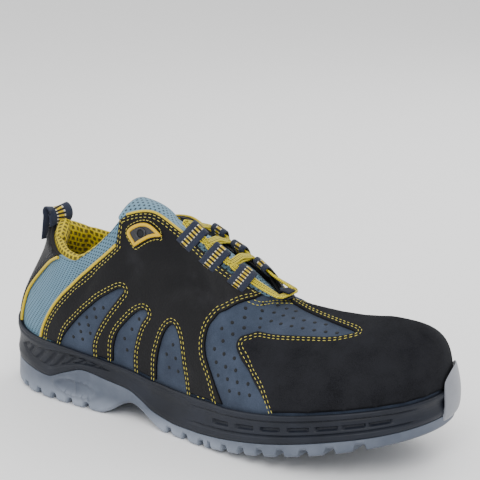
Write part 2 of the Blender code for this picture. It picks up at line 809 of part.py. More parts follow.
def wall_grids():
    angle, level = np.meshgrid(ANGLES, LEVELS, indexing="ij")
    point = wall_point(angle, level)
    normal = wall_normal(angle, level)
    # Both sides share one normal where they meet on the ridge
    for i in range(1, COLUMNS // 2):
        if ANGLES[i] >= RIDGE_START:
            mean = normal[i, -1] + normal[COLUMNS - i, -1]
            mean = mean / np.linalg.norm(mean)
            normal[i, -1] = mean
            normal[COLUMNS - i, -1] = mean
            point[COLUMNS - i, -1] = point[i, -1]
    # The end of the ridge at the toe takes the normal beside it
    normal[COLUMNS // 2, -1] = normal[COLUMNS // 2 - 1, -1]
    return point, normal


WALL_POINTS, WALL_NORMALS = wall_grids()


def on_wall(angle, level, offset):
    """A place on the faceted wall, raised by the offset."""
    grid = WALL_POINTS + WALL_NORMALS * offset
    angle = angle % 360
    i = int(np.searchsorted(ANGLES, angle, side="right")) - 1
    j = (i + 1) % COLUMNS
    across = (angle - ANGLES[i]) / ((ANGLES[j] - ANGLES[i]) % 360)
    row = min(int(np.searchsorted(LEVELS, level, side="right")) - 1, len(LEVELS) - 2)
    up = (level - LEVELS[row]) / (LEVELS[row + 1] - LEVELS[row])
    # Each cell of the wall is two flat faces, split from its first corner to the opposite one
    if across > up:
        middle, weight = grid[j, row], across - up
    else:
        middle, weight = grid[i, row + 1], up - across
    near = 1 - max(across, up)
    return near * grid[i, row] + weight * middle + min(across, up) * grid[j, row + 1]


def padding_share(angle, level):
    """Share of the collar padding in the wall: full behind the ankle, none at the throat."""
    turn = angle if angle <= 180 else 360 - angle
    around = 1 - float(smooth_step(60, 80, turn))
    height = float(smooth_step(0.45, 0.8, level)) * (1 - 0.45 * float(smooth_step(0.9, 1.0, level)))
    thin = WALL / COLLAR_PADDING
    return thin + (1 - thin) * around * height


def make_upper():
    rows = len(LEVELS)
    faces = []
    for i in range(COLUMNS):
        j = (i + 1) % COLUMNS
        for row in range(rows - 1):
            corner, opposite = i * rows + row, j * rows + row + 1
            faces.append((corner, j * rows + row, opposite))
            faces.append((corner, opposite, i * rows + row + 1))
    upper = solid("upper", WALL_POINTS.reshape(-1, 3), faces, suede_blue)
    group = upper.vertex_groups.new(name="padding")
    places = {}
    for i, angle in enumerate(ANGLES):
        for row, level in enumerate(LEVELS):
            places[tuple(np.round(WALL_POINTS[i, row], 5))] = padding_share(angle, level)
    for vertex in upper.data.vertices:
        share = places.get(tuple(np.round(vertex.co, 5)), WALL / COLLAR_PADDING)
        group.add([vertex.index], share, "REPLACE")
    wall = upper.modifiers.new("wall", "SOLIDIFY")
    wall.thickness = COLLAR_PADDING
    wall.offset = -1
    wall.vertex_group = group.name
    return upper


def trace(corners, steps=2):
    """Points along a closed run of corners, rounded where the last column says so."""
    count = len(corners)
    points = []
    for i in range(count):
        before = np.array(corners[i - 1][:2])
        start = np.array(corners[i][:2])
        end = np.array(corners[(i + 1) % count][:2])
        after = np.array(corners[(i + 2) % count][:2])
        leave = (end - before) / 2 if corners[i][2] else end - start
        arrive = (after - start) / 2 if corners[(i + 1) % count][2] else end - start
        straight = not corners[i][2] and not corners[(i + 1) % count][2]
        for k in range(1 if straight else steps):
            t = k / steps
            points.append((2 * t ** 3 - 3 * t ** 2 + 1) * start + (t ** 3 - 2 * t ** 2 + t) * leave
                          + (3 * t ** 2 - 2 * t ** 3) * end + (t ** 3 - t ** 2) * arrive)
    return points


ANGLE_SCALE = 1 / 60


def inside(place, edge):
    """Whether a flat place lies within a closed edge."""
    crossings = 0
    for start, end in zip(edge, edge[1:] + edge[:1]):
        if (start.y > place.y) != (end.y > place.y):
            share = (place.y - start.y) / (end.y - start.y)
            crossings += place.x < start.x + share * (end.x - start.x)
    return crossings % 2 == 1


def patch(name, edge, material, thickness=OVERLAY, lift=PANEL_LIFT):
    """A panel of even thickness on the wall, cut to an edge of angles and levels."""
    corners = [Vector((p[0] * ANGLE_SCALE, p[1])) for p in edge]
    count = len(corners)
    points = list(corners)
    low = min(p[0] for p in edge)
    high = max(p[0] for p in edge)
    lines = [(k, (k + 1) % count) for k in range(count)]
    wrapped = np.concatenate([ANGLES - 360, ANGLES, ANGLES + 360])
    for angle in wrapped[(wrapped > low) & (wrapped < high)]:
        lines.append((len(points), len(points) + 1))
        points += [Vector((angle * ANGLE_SCALE, -0.1)), Vector((angle * ANGLE_SCALE, 1.1))]
    for level in LEVELS[3:-1]:
        lines.append((len(points), len(points) + 1))
        points += [Vector(((low - 1) * ANGLE_SCALE, level)), Vector(((high + 1) * ANGLE_SCALE, level))]
    for start, end in zip(wrapped, wrapped[1:]):
        if end <= low or start >= high:
            continue
        for floor, ceiling in zip(LEVELS[2:], LEVELS[3:]):
            lines.append((len(points), len(points) + 1))
            points += [Vector((start * ANGLE_SCALE, floor)), Vector((end * ANGLE_SCALE, ceiling))]
    flat, _, triangles = delaunay_2d_cdt(points, lines, [], 0, 0.00001)[:3]
    faces = []
    for face in triangles:
        middle = (flat[face[0]] + flat[face[1]] + flat[face[2]]) / 3
        if inside(middle, corners):
            faces.append(tuple(face))
    used = sorted({k for face in faces for k in face})
    index = {k: n for n, k in enumerate(used)}
    places = [on_wall(flat[k].x / ANGLE_SCALE, min(flat[k].y, 1.0), lift) for k in used]
    panel = solid(name, places, [tuple(index[k] for k in face) for face in faces], material)
    shell = panel.modifiers.new("thickness", "SOLIDIFY")
    shell.thickness = thickness
    shell.offset = 1
    return panel


def mirrored(corners):
    return [(360 - row[0], row[1], row[2]) for row in reversed(corners)]


def sides(corners):
    return (("lateral", corners), ("medial", mirrored(corners)))


def make_overlays():
    cap = list(TOE_CAP_EDGE) + mirrored(TOE_CAP_EDGE)
    patch("toe_cap", trace(cap), suede_black)
    for side, corners in sides(QUARTER_EDGE):
        patch("quarter_overlay_" + side, trace(corners), leather_black)
    strip = [(-row[0], row[1], row[2]) for row in reversed(HEEL_STRIP_EDGE)]
    patch("heel_strip", trace(list(HEEL_STRIP_EDGE) + strip), leather_black)


def tube(name, points, radius, material):
    curve = bpy.data.curves.new(name, "CURVE")
    curve.dimensions = "3D"
    curve.bevel_depth = radius
    curve.bevel_resolution = 2
    curve.use_fill_caps = True
    spline = curve.splines.new("POLY")
    spline.points.add(len(points) - 1)
    for slot, point in zip(spline.points, points):
        slot.co = (*point, 1)
    curve.materials.append(material)
    obj = bpy.data.objects.new(name, curve)
    shoe.objects.link(obj)
    return obj


def piping(name, corners, forward):
    """Round piping beside an overlay's edge, on the side away from the overlay."""
    run = [np.array(row[:2]) for row in corners]
    places = []
    for k, spot in enumerate(run):
        ahead = run[min(k + 1, len(run) - 1)]
        back = run[max(k - 1, 0)]
        lift = PIPING_RADIUS + GAP
        here = on_wall(spot[0], min(spot[1], 0.985), lift)
        heading = on_wall(ahead[0], ahead[1], lift) - on_wall(back[0], back[1], lift)
        normal = on_wall(spot[0], min(spot[1], 0.985), lift + 0.001) - here
        aside = np.cross(heading / np.linalg.norm(heading), normal / np.linalg.norm(normal))
        places.append(here + aside * forward * (PIPING_RADIUS + 2 * GAP))
    return tube(name, places, PIPING_RADIUS, yellow_trim)


def make_piping():
    for side, corners in sides(HEEL_PIPING):
        piping("heel_piping_" + side, corners, 1)
    for side, corners in sides(QUARTER_PIPING):
        piping("quarter_piping_" + side, corners, -1)


def make_eyelet_frames():
    for side, corners in sides(EYELET_FRAME):
        lift = PANEL_LIFT + OVERLAY + GAP
        patch("eyelet_frame_" + side, trace(corners, 4), yellow_trim, EYELET_PLATE, lift)


def unit(vector):
    return vector / np.linalg.norm(vector)


def band(name, centres, outs, widths, thickness, material, collection=shoe):
    """A flat band through the centres, its broad face towards each row's own direction."""
    points = []
    last = len(centres) - 1
    for k, centre in enumerate(centres):
        ahead = unit(centres[min(k + 1, last)] - centres[min(k, last - 1)])
        behind = unit(centres[max(k, 1)] - centres[max(k - 1, 0)])
        heading = unit(ahead + behind)
        across = unit(np.cross(outs[k], heading))
        up = np.cross(heading, across)
        for a, u in ((-1, -1), (1, -1), (1, 1), (-1, 1)):
            points.append(centre + across * a * widths[k] / 2 + up * u * thickness / 2)
    faces = [(0, 1, 2, 3), tuple(4 * last + k for k in (0, 1, 2, 3))]
    for k in range(last):
        for m in range(4):
            n = (m + 1) % 4
            faces.append((4 * k + m, 4 * k + n, 4 * k + 4 + n, 4 * k + 4 + m))
    return solid(name, points, faces, material, collection)


def edge_frame(angle):
    """Place on the throat edge with the directions along it, over the throat and outwards."""
    place = on_wall(angle, 1.0, 0.0)
    step = 1.0
    along = on_wall(angle + step, 1.0, 0.0) - on_wall(angle - step, 1.0, 0.0)
    along = along / np.linalg.norm(along)
    over = place - on_wall(angle, 0.9, 0.0)
    over = over - along * over.dot(along)
    over = over / np.linalg.norm(over)
    out = np.cross(along, over)
    out = out * (1 if out[2] > 0 else -1)
    return place, along, over, out


def loop_profile(reach):
    """Side view of a folded loop: over the throat and outwards, lower layer first."""
    half = (LOOP_OPENING + WEBBING_THICKNESS) / 2
    start = 4 * GAP
    turn = reach - half
    profile = [(start, -half), (turn * 0.6, -half * 1.1), (turn, -half)]
    for k in range(1, 4):
        angle = -math.pi / 2 + math.pi * k / 4
        profile.append((turn + half * math.cos(angle), half * math.sin(angle)))
    profile += [(turn, half), (turn * 0.6, half * 1.1), (start, half)]
    return profile


def base_frame():
    """Place and directions of the loop on the vamp at the foot of the throat."""
    place = on_wall(BASE_LOOP_ANGLE, 1.0, 0.0)
    over = on_wall(RIDGE_START, 1.0, 0.0) - place
    place[1] -= BASE_LOOP_SHIFT
    over[1] = 0
    over = over / np.linalg.norm(over)
    out = np.array([over[2], 0, -over[0]])
    lift = OVERLAY + 3 * GAP + LOOP_OPENING / 2 + WEBBING_THICKNESS
    return place + out * lift, np.array([0, 1.0, 0]), over, out


def loop_frame(number, side):
    """Frame of one of the loops along the throat, counted from the collar down."""
    angle = LOOP_ANGLES[number]
    return edge_frame(angle if side == "lateral" else 360 - angle)


def make_loop(name, frame, reach, width):
    place, along, over, out = frame
    centres = [place + over * a + out * b for a, b in loop_profile(reach)]
    last = len(centres) - 1
    outs = [np.cross(along, centres[min(k + 1, last)] - centres[max(k - 1, 0)]) for k in range(last + 1)]
    band(name, centres, outs, [width] * len(centres), WEBBING_THICKNESS, webbing)


def make_lace_loops():
    for number in range(len(LOOP_ANGLES)):
        for side in ("lateral", "medial"):
            name = "lace_loop_%s_%d" % (side, number + 1)
            make_loop(name, loop_frame(number, side), LOOP_REACH, LOOP_WIDTH)
    make_loop("lace_loop_base", base_frame(), BASE_LOOP_REACH, BASE_LOOP_WIDTH)


def lace(name, knots, collection=shoe):
    """Flat lace along knots of a place and the way its broad face looks; it narrows where it turns."""
    centres = [knots[0][0]]
    outs = [knots[0][1]]
    widths = [LACE_WIDTH]
    for before, knot, after in zip(knots, knots[1:], knots[2:]):
        back = before[0] - knot[0]
        ahead = after[0] - knot[0]
        bend = min(LACE_BEND, np.linalg.norm(back) * 0.45, np.linalg.norm(ahead) * 0.45)
        start = knot[0] + unit(back) * bend
        end = knot[0] + unit(ahead) * bend
        start_out = mix(knot[1], before[1], bend / np.linalg.norm(back))
        end_out = mix(knot[1], after[1], bend / np.linalg.norm(ahead))
        turn = 1 - max(0.0, unit(ahead).dot(-unit(back)))
        for t in LACE_ROUND:
            centres.append((1 - t) ** 2 * start + 2 * t * (1 - t) * knot[0] + t * t * end)
            outs.append(mix(start_out, end_out, t))
            pinch = LACE_PINCH * turn if 0 < t < 1 else 0
            widths.append(LACE_WIDTH * (1 - pinch))
    centres.append(knots[-1][0])
    outs.append(knots[-1][1])
    widths.append(LACE_WIDTH)
    return band(name, centres, outs, widths, LACE_THICKNESS, lace_yarn, collection)


def backward(frame):
    """Sign that turns a frame's own direction towards the heel."""
    return 1 if frame[1][0] < 0 else -1


def seat_knots(frame, sign, run_out):
    """Knots in the middle of a loop and where the lace turns beyond its end."""
    middle = frame[0] + frame[2] * LACE_SEAT
    way = frame[1] * sign * backward(frame)
    return [(middle + way * GAP / 2, frame[3]), (middle + way * (LOOP_WIDTH / 2 + run_out), frame[3])]


def crossing(name, low, high, sides_taken, lift, collection):
    """One lace from the rear of a lower loop to the front of the next loop on the other side."""
    first = loop_frame(low, sides_taken[0])
    second = loop_frame(high, sides_taken[1])
    start = seat_knots(first, 1, gap_between(low, high, sides_taken[0]) * LACE_CLEAR)
    end = seat_knots(second, -1, gap_between(low, high, sides_taken[1]) * (LACE_TAKEN - LACE_CLEAR))
    middle = (start[1][0] + end[1][0]) / 2 + np.array([0, 0, LACE_ARCH + lift])
    return lace(name, start + [(middle, unit(first[3] + second[3]))] + end[::-1], collection)


def gap_between(low, high, side):
    reach = [frame[0] + frame[2] * LACE_SEAT for frame in (loop_frame(low, side), loop_frame(high, side))]
    return np.linalg.norm(reach[0] - reach[1]) - LOOP_WIDTH


def make_laces():
    last = len(LOOP_ANGLES) - 1
    for name, low in (("lace_cross_lower", last), ("lace_cross_upper", last - 1)):
        cross = crossing(name, low, low - 1, ("lateral", "medial"), 0, shoe)
        other = crossing(name + "_blank", low, low - 1, ("medial", "lateral"), LACE_THICKNESS * 0.6, tools)
        apply_boolean(cross, other, "UNION")
    ends = [seat_knots(loop_frame(0, side), 1, LACE_TOP_RUN) for side in ("lateral", "medial")]
    lace("lace_top_bar", ends[0] + ends[1][::-1])
    # The lowest run passes through the loop on the vamp
    place, _, over, out = base_frame()
    middle = place + over * BASE_LOOP_REACH * BASE_LACE_SEAT
    step = np.array([0, BASE_LOOP_WIDTH / 2 + BASE_LACE_RUN, 0])
    ends = [seat_knots(loop_frame(last, side), -1, LACE_TOP_RUN) for side in ("lateral", "medial")]
    lace("lace_v", ends[0] + [(middle - step, out), (middle + step, out)] + ends[1][::-1])


def tongue_rows():
    """Points across the tongue for every row, from the lateral edge to the medial edge."""
    depth = WALL + 5 * GAP + TONGUE_THICKNESS / 2
    rows = []
    for angle, along, crown, level in TONGUE_ROWS:
        edges = [on_wall(turn, level, -depth) for turn in (angle, 360 - angle)]
        rim = [on_wall(turn, 1.0, 0.0) for turn in (angle, 360 - angle)]
        rise = mix(level, 1.0, TONGUE_RISE)
        shoulder = [on_wall(turn, rise, -depth - TONGUE_SHOULDER) for turn in (angle, 360 - angle)]
        crest = (rim[0] + rim[1]) / 2
        crest[0] = along * SOLE_LENGTH - CENTRE_X
        crest[2] += crown * TONGUE_THICKNESS
        row = [edges[0]]
        for k in (0, 1):
            hold = np.array([crest[0], mix(crest[1], shoulder[k][1], TONGUE_ROUND), crest[2]])
            arc = [(1 - t) ** 2 * shoulder[k] + 2 * t * (1 - t) * hold + t * t * crest for t in TONGUE_ARC]
            row += arc + [crest] if k == 0 else arc[::-1]
        row.append(edges[1])
        rows.append(row)
    middle = rows[-1][len(rows[-1]) // 2][1]
    for along, below, half, drop in TONGUE_TIP:
        row = []
        for share in TIP_SHARES:
            row.append(np.array([along * SOLE_LENGTH - CENTRE_X, middle + share * half * HALF_COLLAR,
                                 TONGUE_HEIGHT - below - drop * HALF_COLLAR * share ** 2]))
        rows.append(row)
    return rows


def make_tongue():
    rows = tongue_rows()
    count = len(rows[0])
    faces = []
    for i in range(len(rows) - 1):
        for k in range(count - 1):
            faces.append((i * count + k, i * count + k + 1, (i + 1) * count + k + 1, (i + 1) * count + k))
    tongue = solid("tongue", [p for row in rows for p in row], faces, mesh_blue)
    shell = tongue.modifiers.new("thickness", "SOLIDIFY")
    shell.thickness = TONGUE_THICKNESS
    shell.offset = 0
    return tongue


def make_pull_loop():
    """Webbing loop at the heel: outer leg, twisted top, inner leg behind the lining."""
    outside = PANEL_LIFT + OVERLAY + PULL_THICKNESS / 2
    crest = on_wall(0, 1.0, 0.0)
    centres = [on_wall(0, level, outside + gap) for level, gap in PULL_FOOT]
    centres += [crest + np.array(shares) * PULL_LENGTH for shares in PULL_TOP]
    centres += [on_wall(0, level, -PULL_INSET) for level in PULL_END]
    outs = []
    for k, turn in enumerate(PULL_TURNS):
        heading = centres[min(k + 1, len(centres) - 1)] - centres[max(k - 1, 0)]
        outs.append(np.cross(heading, (math.cos(math.radians(turn)), math.sin(math.radians(turn)), 0)))
    return band("pull_loop", centres, outs, [PULL_WIDTH] * len(centres), PULL_THICKNESS, webbing)


make_outsole()
make_midsole()
make_insole()
make_upper()
make_overlays()
make_piping()
make_eyelet_frames()
make_lace_loops()
make_laces()
make_tongue()
make_pull_loop()
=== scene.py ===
import math

import bmesh
import bpy
import numpy as np
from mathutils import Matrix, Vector
from mathutils.geometry import delaunay_2d_cdt


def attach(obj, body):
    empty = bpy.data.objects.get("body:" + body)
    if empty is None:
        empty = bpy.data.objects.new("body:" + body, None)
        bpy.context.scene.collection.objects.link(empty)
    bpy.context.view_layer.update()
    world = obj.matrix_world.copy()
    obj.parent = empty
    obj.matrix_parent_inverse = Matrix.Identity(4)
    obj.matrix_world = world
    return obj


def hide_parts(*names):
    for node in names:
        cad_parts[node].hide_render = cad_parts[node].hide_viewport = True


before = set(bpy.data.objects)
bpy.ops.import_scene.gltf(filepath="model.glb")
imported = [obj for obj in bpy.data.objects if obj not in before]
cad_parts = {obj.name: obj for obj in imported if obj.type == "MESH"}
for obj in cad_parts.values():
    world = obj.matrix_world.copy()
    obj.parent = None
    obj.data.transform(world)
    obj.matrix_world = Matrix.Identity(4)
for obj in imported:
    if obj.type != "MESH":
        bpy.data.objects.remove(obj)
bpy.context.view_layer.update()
scene = bpy.context.scene

# The shoe's own sizes, in metres: +X towards the toe, -Y the outer side, +Z up.
# An angle runs round the shoe, 0 at the heel and 180 at the toe, outer side first.
# A level runs up the wall, 0 at the sole's rim and 1 at the top edge.
shoe = {
    "length": 0.300, "heelWidth": 0.077, "ballWidth": 0.108, "collarWidth": 0.062,
    "bumperReach": 0.0033, "toeSpring": 0.0245, "heelBevel": 0.007, "archRise": 0.0115,
    "rimHeight": 0.038, "rimThickness": 0.0034, "outsoleHeight": 0.025,
    "heelSeat": 0.024, "forefootSeat": 0.0195, "featherTuck": 0.003,
    "wall": 0.0024, "heelTab": 0.104, "collar": 0.091, "quarter": 0.130,
    "innerQuarter": 0.1145, "innerSetback": 0.008, "innerToeReach": 0.80,
    "innerToeAngles": (113, 120, 135, 150, 165, 180), "innerToeFall": (0, 0.24, 0.24, 0.18, 0.08, 0.0),
    "throat": 0.095, "vamp": 0.083, "vampDip": 0.003, "toeCap": 0.082, "gap": 0.0003, "overlay": 0.0013,
}
halfBall, halfHeel, halfCollar = shoe["ballWidth"] / 2, shoe["heelWidth"] / 2, shoe["collarWidth"] / 2
centreX = (shoe["length"] + shoe["bumperReach"]) / 2
ridgeStart = 113


def mix(low, high, share):
    return low + (high - low) * share


def between(lowName, highName, share):
    return mix(shoe[lowName], shoe[highName], share)


outlineRows = (  # angle, outer half width, inner half width, share of ball
    (0, 0.000, 0.000, 0.0), (15, 0.468, 0.455, 0.0), (30, 0.792, 0.755, 0.0), (45, 0.960, 0.910, 0.0),
    (60, 1.000, 0.935, 0.0), (75, 0.843, 0.746, 0.5), (90, 0.806, 0.667, 1.0), (105, 0.944, 0.833, 1.0),
    (120, 1.000, 0.980, 1.0), (135, 0.870, 1.000, 1.0), (150, 0.611, 0.833, 1.0), (165, 0.260, 0.546, 1.0),
    (180, -0.148, 0.148, 1.0),
)
sideRows = (  # angle, rim, outsole edge
    (0, 1.24, 0.76), (15, 1.17, 0.76), (30, 1.04, 0.70), (45, 0.99, 0.60), (53, 0.98, 0.82), (60, 0.95, 1.00),
    (68, 0.91, 0.90), (75, 0.87, 0.80), (79, 0.83, 0.62), (82, 0.80, 0.46), (85, 0.79, 0.38), (90, 0.77, 0.31),
    (98, 0.77, 0.33), (105, 0.72, 0.32), (120, 0.67, 0.32), (135, 0.64, 0.31), (150, 0.60, 0.28),
    (165, 0.56, 0.27), (180, 0.55, 0.27),
)
topRows = (  # angle, along, outer, inner, height, lift, lean, out, down
    (0, 0.079, 0.00, 0.00, shoe["heelTab"], 0.34, 0.010, 0.04, 0.38),
    (15, 0.093, 0.34, 0.34, between("heelTab", "collar", 0.25), 0.33, 0.010, 0.04, 0.37),
    (30, 0.125, 0.68, 0.68, between("heelTab", "collar", 0.62), 0.33, 0.020, 0.02, 0.35),
    (45, 0.170, 0.93, 0.93, between("heelTab", "collar", 0.92), 0.35, 0.020, 0.02, 0.35),
    (53, 0.207, 1.00, 1.00, shoe["collar"], 0.37, 0.020, 0.02, 0.35),
    (60, 0.253, 1.00, 1.00, between("collar", "quarter", 0.20), 0.35, 0.020, 0.02, 0.32),
    (68, 0.303, 0.97, 0.97, between("collar", "quarter", 0.55), 0.33, 0.025, 0.04, 0.31),
    (75, 0.347, 0.90, 0.84, between("collar", "quarter", 0.90), 0.32, 0.020, 0.05, 0.32),
    (82, 0.400, 0.83, 0.72, shoe["quarter"], 0.31, 0.020, 0.07, 0.28),
    (90, 0.460, 0.73, 0.55, between("throat", "quarter", 0.75), 0.33, 0.030, 0.15, 0.24),
    (98, 0.530, 0.66, 0.45, between("throat", "quarter", 0.33), 0.36, 0.030, 0.22, 0.18),
    (105, 0.593, 0.55, 0.33, shoe["throat"], 0.38, 0.030, 0.30, 0.14),
    (110, 0.632, 0.33, 0.22, between("vamp", "throat", 0.30), 0.42, 0.035, 0.37, 0.09),
    (113, 0.650, -0.08, 0.08, shoe["vamp"], 0.45, 0.040, 0.48, 0.00),
    (120, 0.690, -0.10, 0.10, between("toeCap", "vamp", 0.8) - 0.45 * shoe["vampDip"], 0.48, 0.040, 0.52, 0.00),
    (135, 0.772, -0.15, 0.15, between("toeCap", "vamp", 0.5) - 0.90 * shoe["vampDip"], 0.56, 0.020, 0.48, 0.00),
    (150, 0.837, -0.20, 0.20, between("toeCap", "vamp", 0.3) - 0.70 * shoe["vampDip"], 0.68, 0.020, 0.52, 0.00),
    (165, 0.875, -0.24, 0.24, between("toeCap", "vamp", 0.1) - 0.10 * shoe["vampDip"], 0.76, 0.020, 0.54, 0.00),
    (180, 0.888, -0.26, 0.26, shoe["toeCap"], 0.78, 0.013, 0.52, 0.00),
)
sole = {
    "heelFlatStart": 0.09, "heelFlatEnd": 0.285, "archTop": 0.375, "foreFlatStart": 0.465,
    "springStart": 0.56, "springCurve": 1.2, "seatSpring": 0.6,
}


def columnsOf(rows):
    return [np.array(column, float) for column in zip(*rows)]


def bothSides(angles, outer, inner):
    return np.concatenate([angles, 360 - angles[-2:0:-1]]), np.concatenate([outer, inner[-2:0:-1]])


def hermite(knots, values, slopes, at):
    at = np.mod(np.asarray(at, float), 360)
    index = np.searchsorted(knots, at, side="right") - 1
    after = (index + 1) % len(knots)
    width = np.mod(knots[after] - knots[index], 360)
    t = (at - knots[index]) / width
    return ((2 * t ** 3 - 3 * t * t + 1) * values[index] + (t ** 3 - 2 * t * t + t) * width * slopes[index]
            + (3 * t * t - 2 * t ** 3) * values[after] + (t ** 3 - t * t) * width * slopes[after])


def smoothLoop(knots, values):
    width = np.mod(np.roll(knots, -1) - knots, 360)
    before = np.roll(width, 1)
    grade = (np.roll(values, -1) - values) / width
    count = len(knots)
    system = np.zeros((count, count))
    for i in range(count):
        system[i, i - 1] = width[i]
        system[i, i] = 2 * (before[i] + width[i])
        system[i, (i + 1) % count] = before[i]
    slopes = np.linalg.solve(system, 3 * (width * np.roll(grade, 1) + before * grade))
    return lambda at: hermite(knots, values, slopes, at)


def steadyLoop(knots, values):
    width = np.mod(np.roll(knots, -1) - knots, 360)
    grade = (np.roll(values, -1) - values) / width
    last, before = np.roll(grade, 1), np.roll(width, 1)
    same = last * grade > 0
    a, b = 2 * width + before, width + 2 * before
    mean = (a + b) / (a / np.where(same, last, 1) + b / np.where(same, grade, 1))
    return lambda at: hermite(knots, values, np.where(same, mean, 0), at)


angleCol, outerCol, innerCol, ballCol = columnsOf(outlineRows)
halfCol = mix(halfHeel, halfBall, ballCol)
outlineY = smoothLoop(*bothSides(angleCol, -outerCol * halfCol, innerCol * halfCol))
angleCol, rimCol, outsoleCol = columnsOf(sideRows)
rimShare = steadyLoop(*bothSides(angleCol, rimCol, rimCol))
outsoleShare = steadyLoop(*bothSides(angleCol, outsoleCol, outsoleCol))
angleCol, *topCols = columnsOf(topRows)
lobe = np.clip((topCols[3] - shoe["throat"]) / (shoe["quarter"] - shoe["throat"]), 0, 1) * (angleCol > 53)
fall = np.interp(angleCol, shoe["innerToeAngles"], shoe["innerToeFall"])  # the toe's inner side falls away sooner
reach = mix(1, shoe["innerToeReach"], fall / max(shoe["innerToeFall"]))
top = {}
for key, index, size, extra in (  # the inner lobe of the quarter stands lower and further back
        ("along", 0, shoe["length"], -shoe["innerSetback"] * lobe), ("lift", 4, 1, 0), ("lean", 5, 1, 0),
        ("height", 3, 1, (shoe["innerQuarter"] - shoe["quarter"]) * lobe), ("down", 7, 1, fall),
        ("out", 6, halfBall, topCols[6] * halfBall * (reach - 1))):
    column = topCols[index] * size
    top[key] = steadyLoop(*bothSides(angleCol, column, column + extra))
top["across"] = steadyLoop(*bothSides(angleCol, -topCols[1] * halfCollar, topCols[2] * halfCollar))


def outlineNormal(angle):
    ahead, back = np.radians(np.asarray(angle) + 0.5), np.radians(np.asarray(angle) - 0.5)
    run = shoe["length"] / 2 * (np.cos(back) - np.cos(ahead))
    rise = outlineY(angle + 0.5) - outlineY(angle - 0.5)
    length = np.hypot(run, rise)
    return np.stack([rise / length, -run / length], -1)


def outline(angle, inset=0.0):
    angle = np.asarray(angle, float)
    x = shoe["length"] / 2 * (1 - np.cos(np.radians(angle))) - centreX
    return np.stack([x, outlineY(angle)], -1) - outlineNormal(angle) * np.broadcast_to(inset, angle.shape)[..., None]


def spring(x):
    along = (np.asarray(x) + centreX) / shoe["length"]
    share = np.clip((along - sole["springStart"]) / (1 - sole["springStart"]), 0, 1.05)
    return shoe["toeSpring"] * share ** sole["springCurve"]


def smoothStep(low, high, value):
    t = np.clip((np.asarray(value, float) - low) / (high - low), 0, 1)
    return t * t * (3 - 2 * t)


def bottomHeight(x):
    along = (np.asarray(x) + centreX) / shoe["length"]
    heel = shoe["heelBevel"] * np.clip(1 - along / sole["heelFlatStart"], 0, 1.2) ** 2
    arch = smoothStep(sole["heelFlatEnd"], sole["archTop"], along)
    arch -= smoothStep(sole["archTop"], sole["foreFlatStart"], along)
    return heel + shoe["archRise"] * arch + spring(x)


def seatHeight(x):
    along = (np.asarray(x) + centreX) / shoe["length"]
    flat = between("heelSeat", "forefootSeat", smoothStep(sole["heelFlatEnd"], sole["foreFlatStart"], along))
    return flat + sole["seatSpring"] * spring(x)


def rimHeight(angle):
    return rimShare(angle) * shoe["rimHeight"] + spring(outline(angle)[..., 0])


def outsoleEdge(angle):
    return outsoleShare(angle) * shoe["outsoleHeight"] + spring(outline(angle)[..., 0])


def sideways(angle):  # the outline's normal, lying flat in space
    normal = outlineNormal(angle)
    return np.concatenate([normal, np.zeros(normal.shape[:-1] + (1,))], -1)


def wallPoint(angle, level):
    angle, level = np.broadcast_arrays(np.asarray(angle, float), np.asarray(level, float))
    foot = np.concatenate([outline(angle, shoe["rimThickness"]), rimHeight(angle)[..., None]], -1)
    crest = np.stack([top["along"](angle) - centreX, top["across"](angle), top["height"](angle)], -1)
    height = (crest - foot)[..., 2:]
    side = sideways(angle)
    up = np.array([0, 0, 1.0])
    low = foot + up * height * top["lift"](angle)[..., None] + side * height * top["lean"](angle)[..., None]
    high = crest + side * top["out"](angle)[..., None] - up * height * top["down"](angle)[..., None]
    s = np.clip(level, 0, None)[..., None]
    r = 1 - s
    point = r ** 3 * foot + 3 * r * r * s * low + 3 * r * s * s * high + s ** 3 * crest
    sunk = np.clip(-level, 0, None)[..., None]
    seatPlace = outline(angle, shoe["rimThickness"] + shoe["featherTuck"])
    seat = seatHeight(seatPlace[..., 0])[..., None] + shoe["gap"]
    return point - side * shoe["featherTuck"] * sunk ** 2 - up * (foot[..., 2:] - seat) * sunk


def unit(vector):
    return vector / np.maximum(np.linalg.norm(vector, axis=-1, keepdims=True), 1e-12)


def wallNormal(angle, level):
    angle, level = np.broadcast_arrays(np.asarray(angle, float), np.asarray(level, float))
    calm = np.minimum(level, 0.97)
    along = wallPoint(angle + 0.5, calm) - wallPoint(angle - 0.5, calm)
    above = np.where(level < 0, np.minimum(level + 0.01, 0), level + 0.01)
    rise = wallPoint(angle, above) - wallPoint(angle, np.where(level > 0, level - 0.01, level))
    return unit(np.cross(along, rise))


def runLengths(line):  # metres from the start to each point of a line
    return np.concatenate([[0], np.cumsum(np.linalg.norm(np.diff(line, axis=0), axis=-1))])


def arcAt(angle):  # metres round the wall from the heel
    return np.interp(angle, arcAngles, arcLengths) - np.interp(0, arcAngles, arcLengths)


def turnOf(angle):  # the same measure on both sides of the shoe
    angle = np.mod(angle, 360)
    return np.where(angle > 180, 360 - angle, angle)


creases = {  # soft troughs: angle, level, run in angle and level, half width, depth
    "rows": (
        (101.0, 0.62, 5.5, -0.20, 0.030, 0.0007), (104.5, 0.70, 4.5, -0.16, 0.026, 0.0006),
        (97.0, 0.70, 5.0, 0.06, 0.030, 0.0006), (92.0, 0.62, 6.0, 0.10, 0.036, 0.0006),
        (86.0, 0.72, 6.0, 0.05, 0.035, 0.0005), (108.0, 0.52, 3.0, -0.12, 0.024, 0.0005),
        (60.0, 0.62, 5.0, 0.16, 0.040, 0.0004), (112.0, 0.72, 4.0, -0.10, 0.030, 0.0004),
        (76.0, 0.60, 5.0, 0.12, 0.034, 0.0004),
    ),
    "angleScale": 1 / 60, "bow": 0.25, "fade": 0.8, "lip": 0.4, "lipPlace": 1.8, "swell": 0.0007,
    "swellTurn": (47, 13),
}


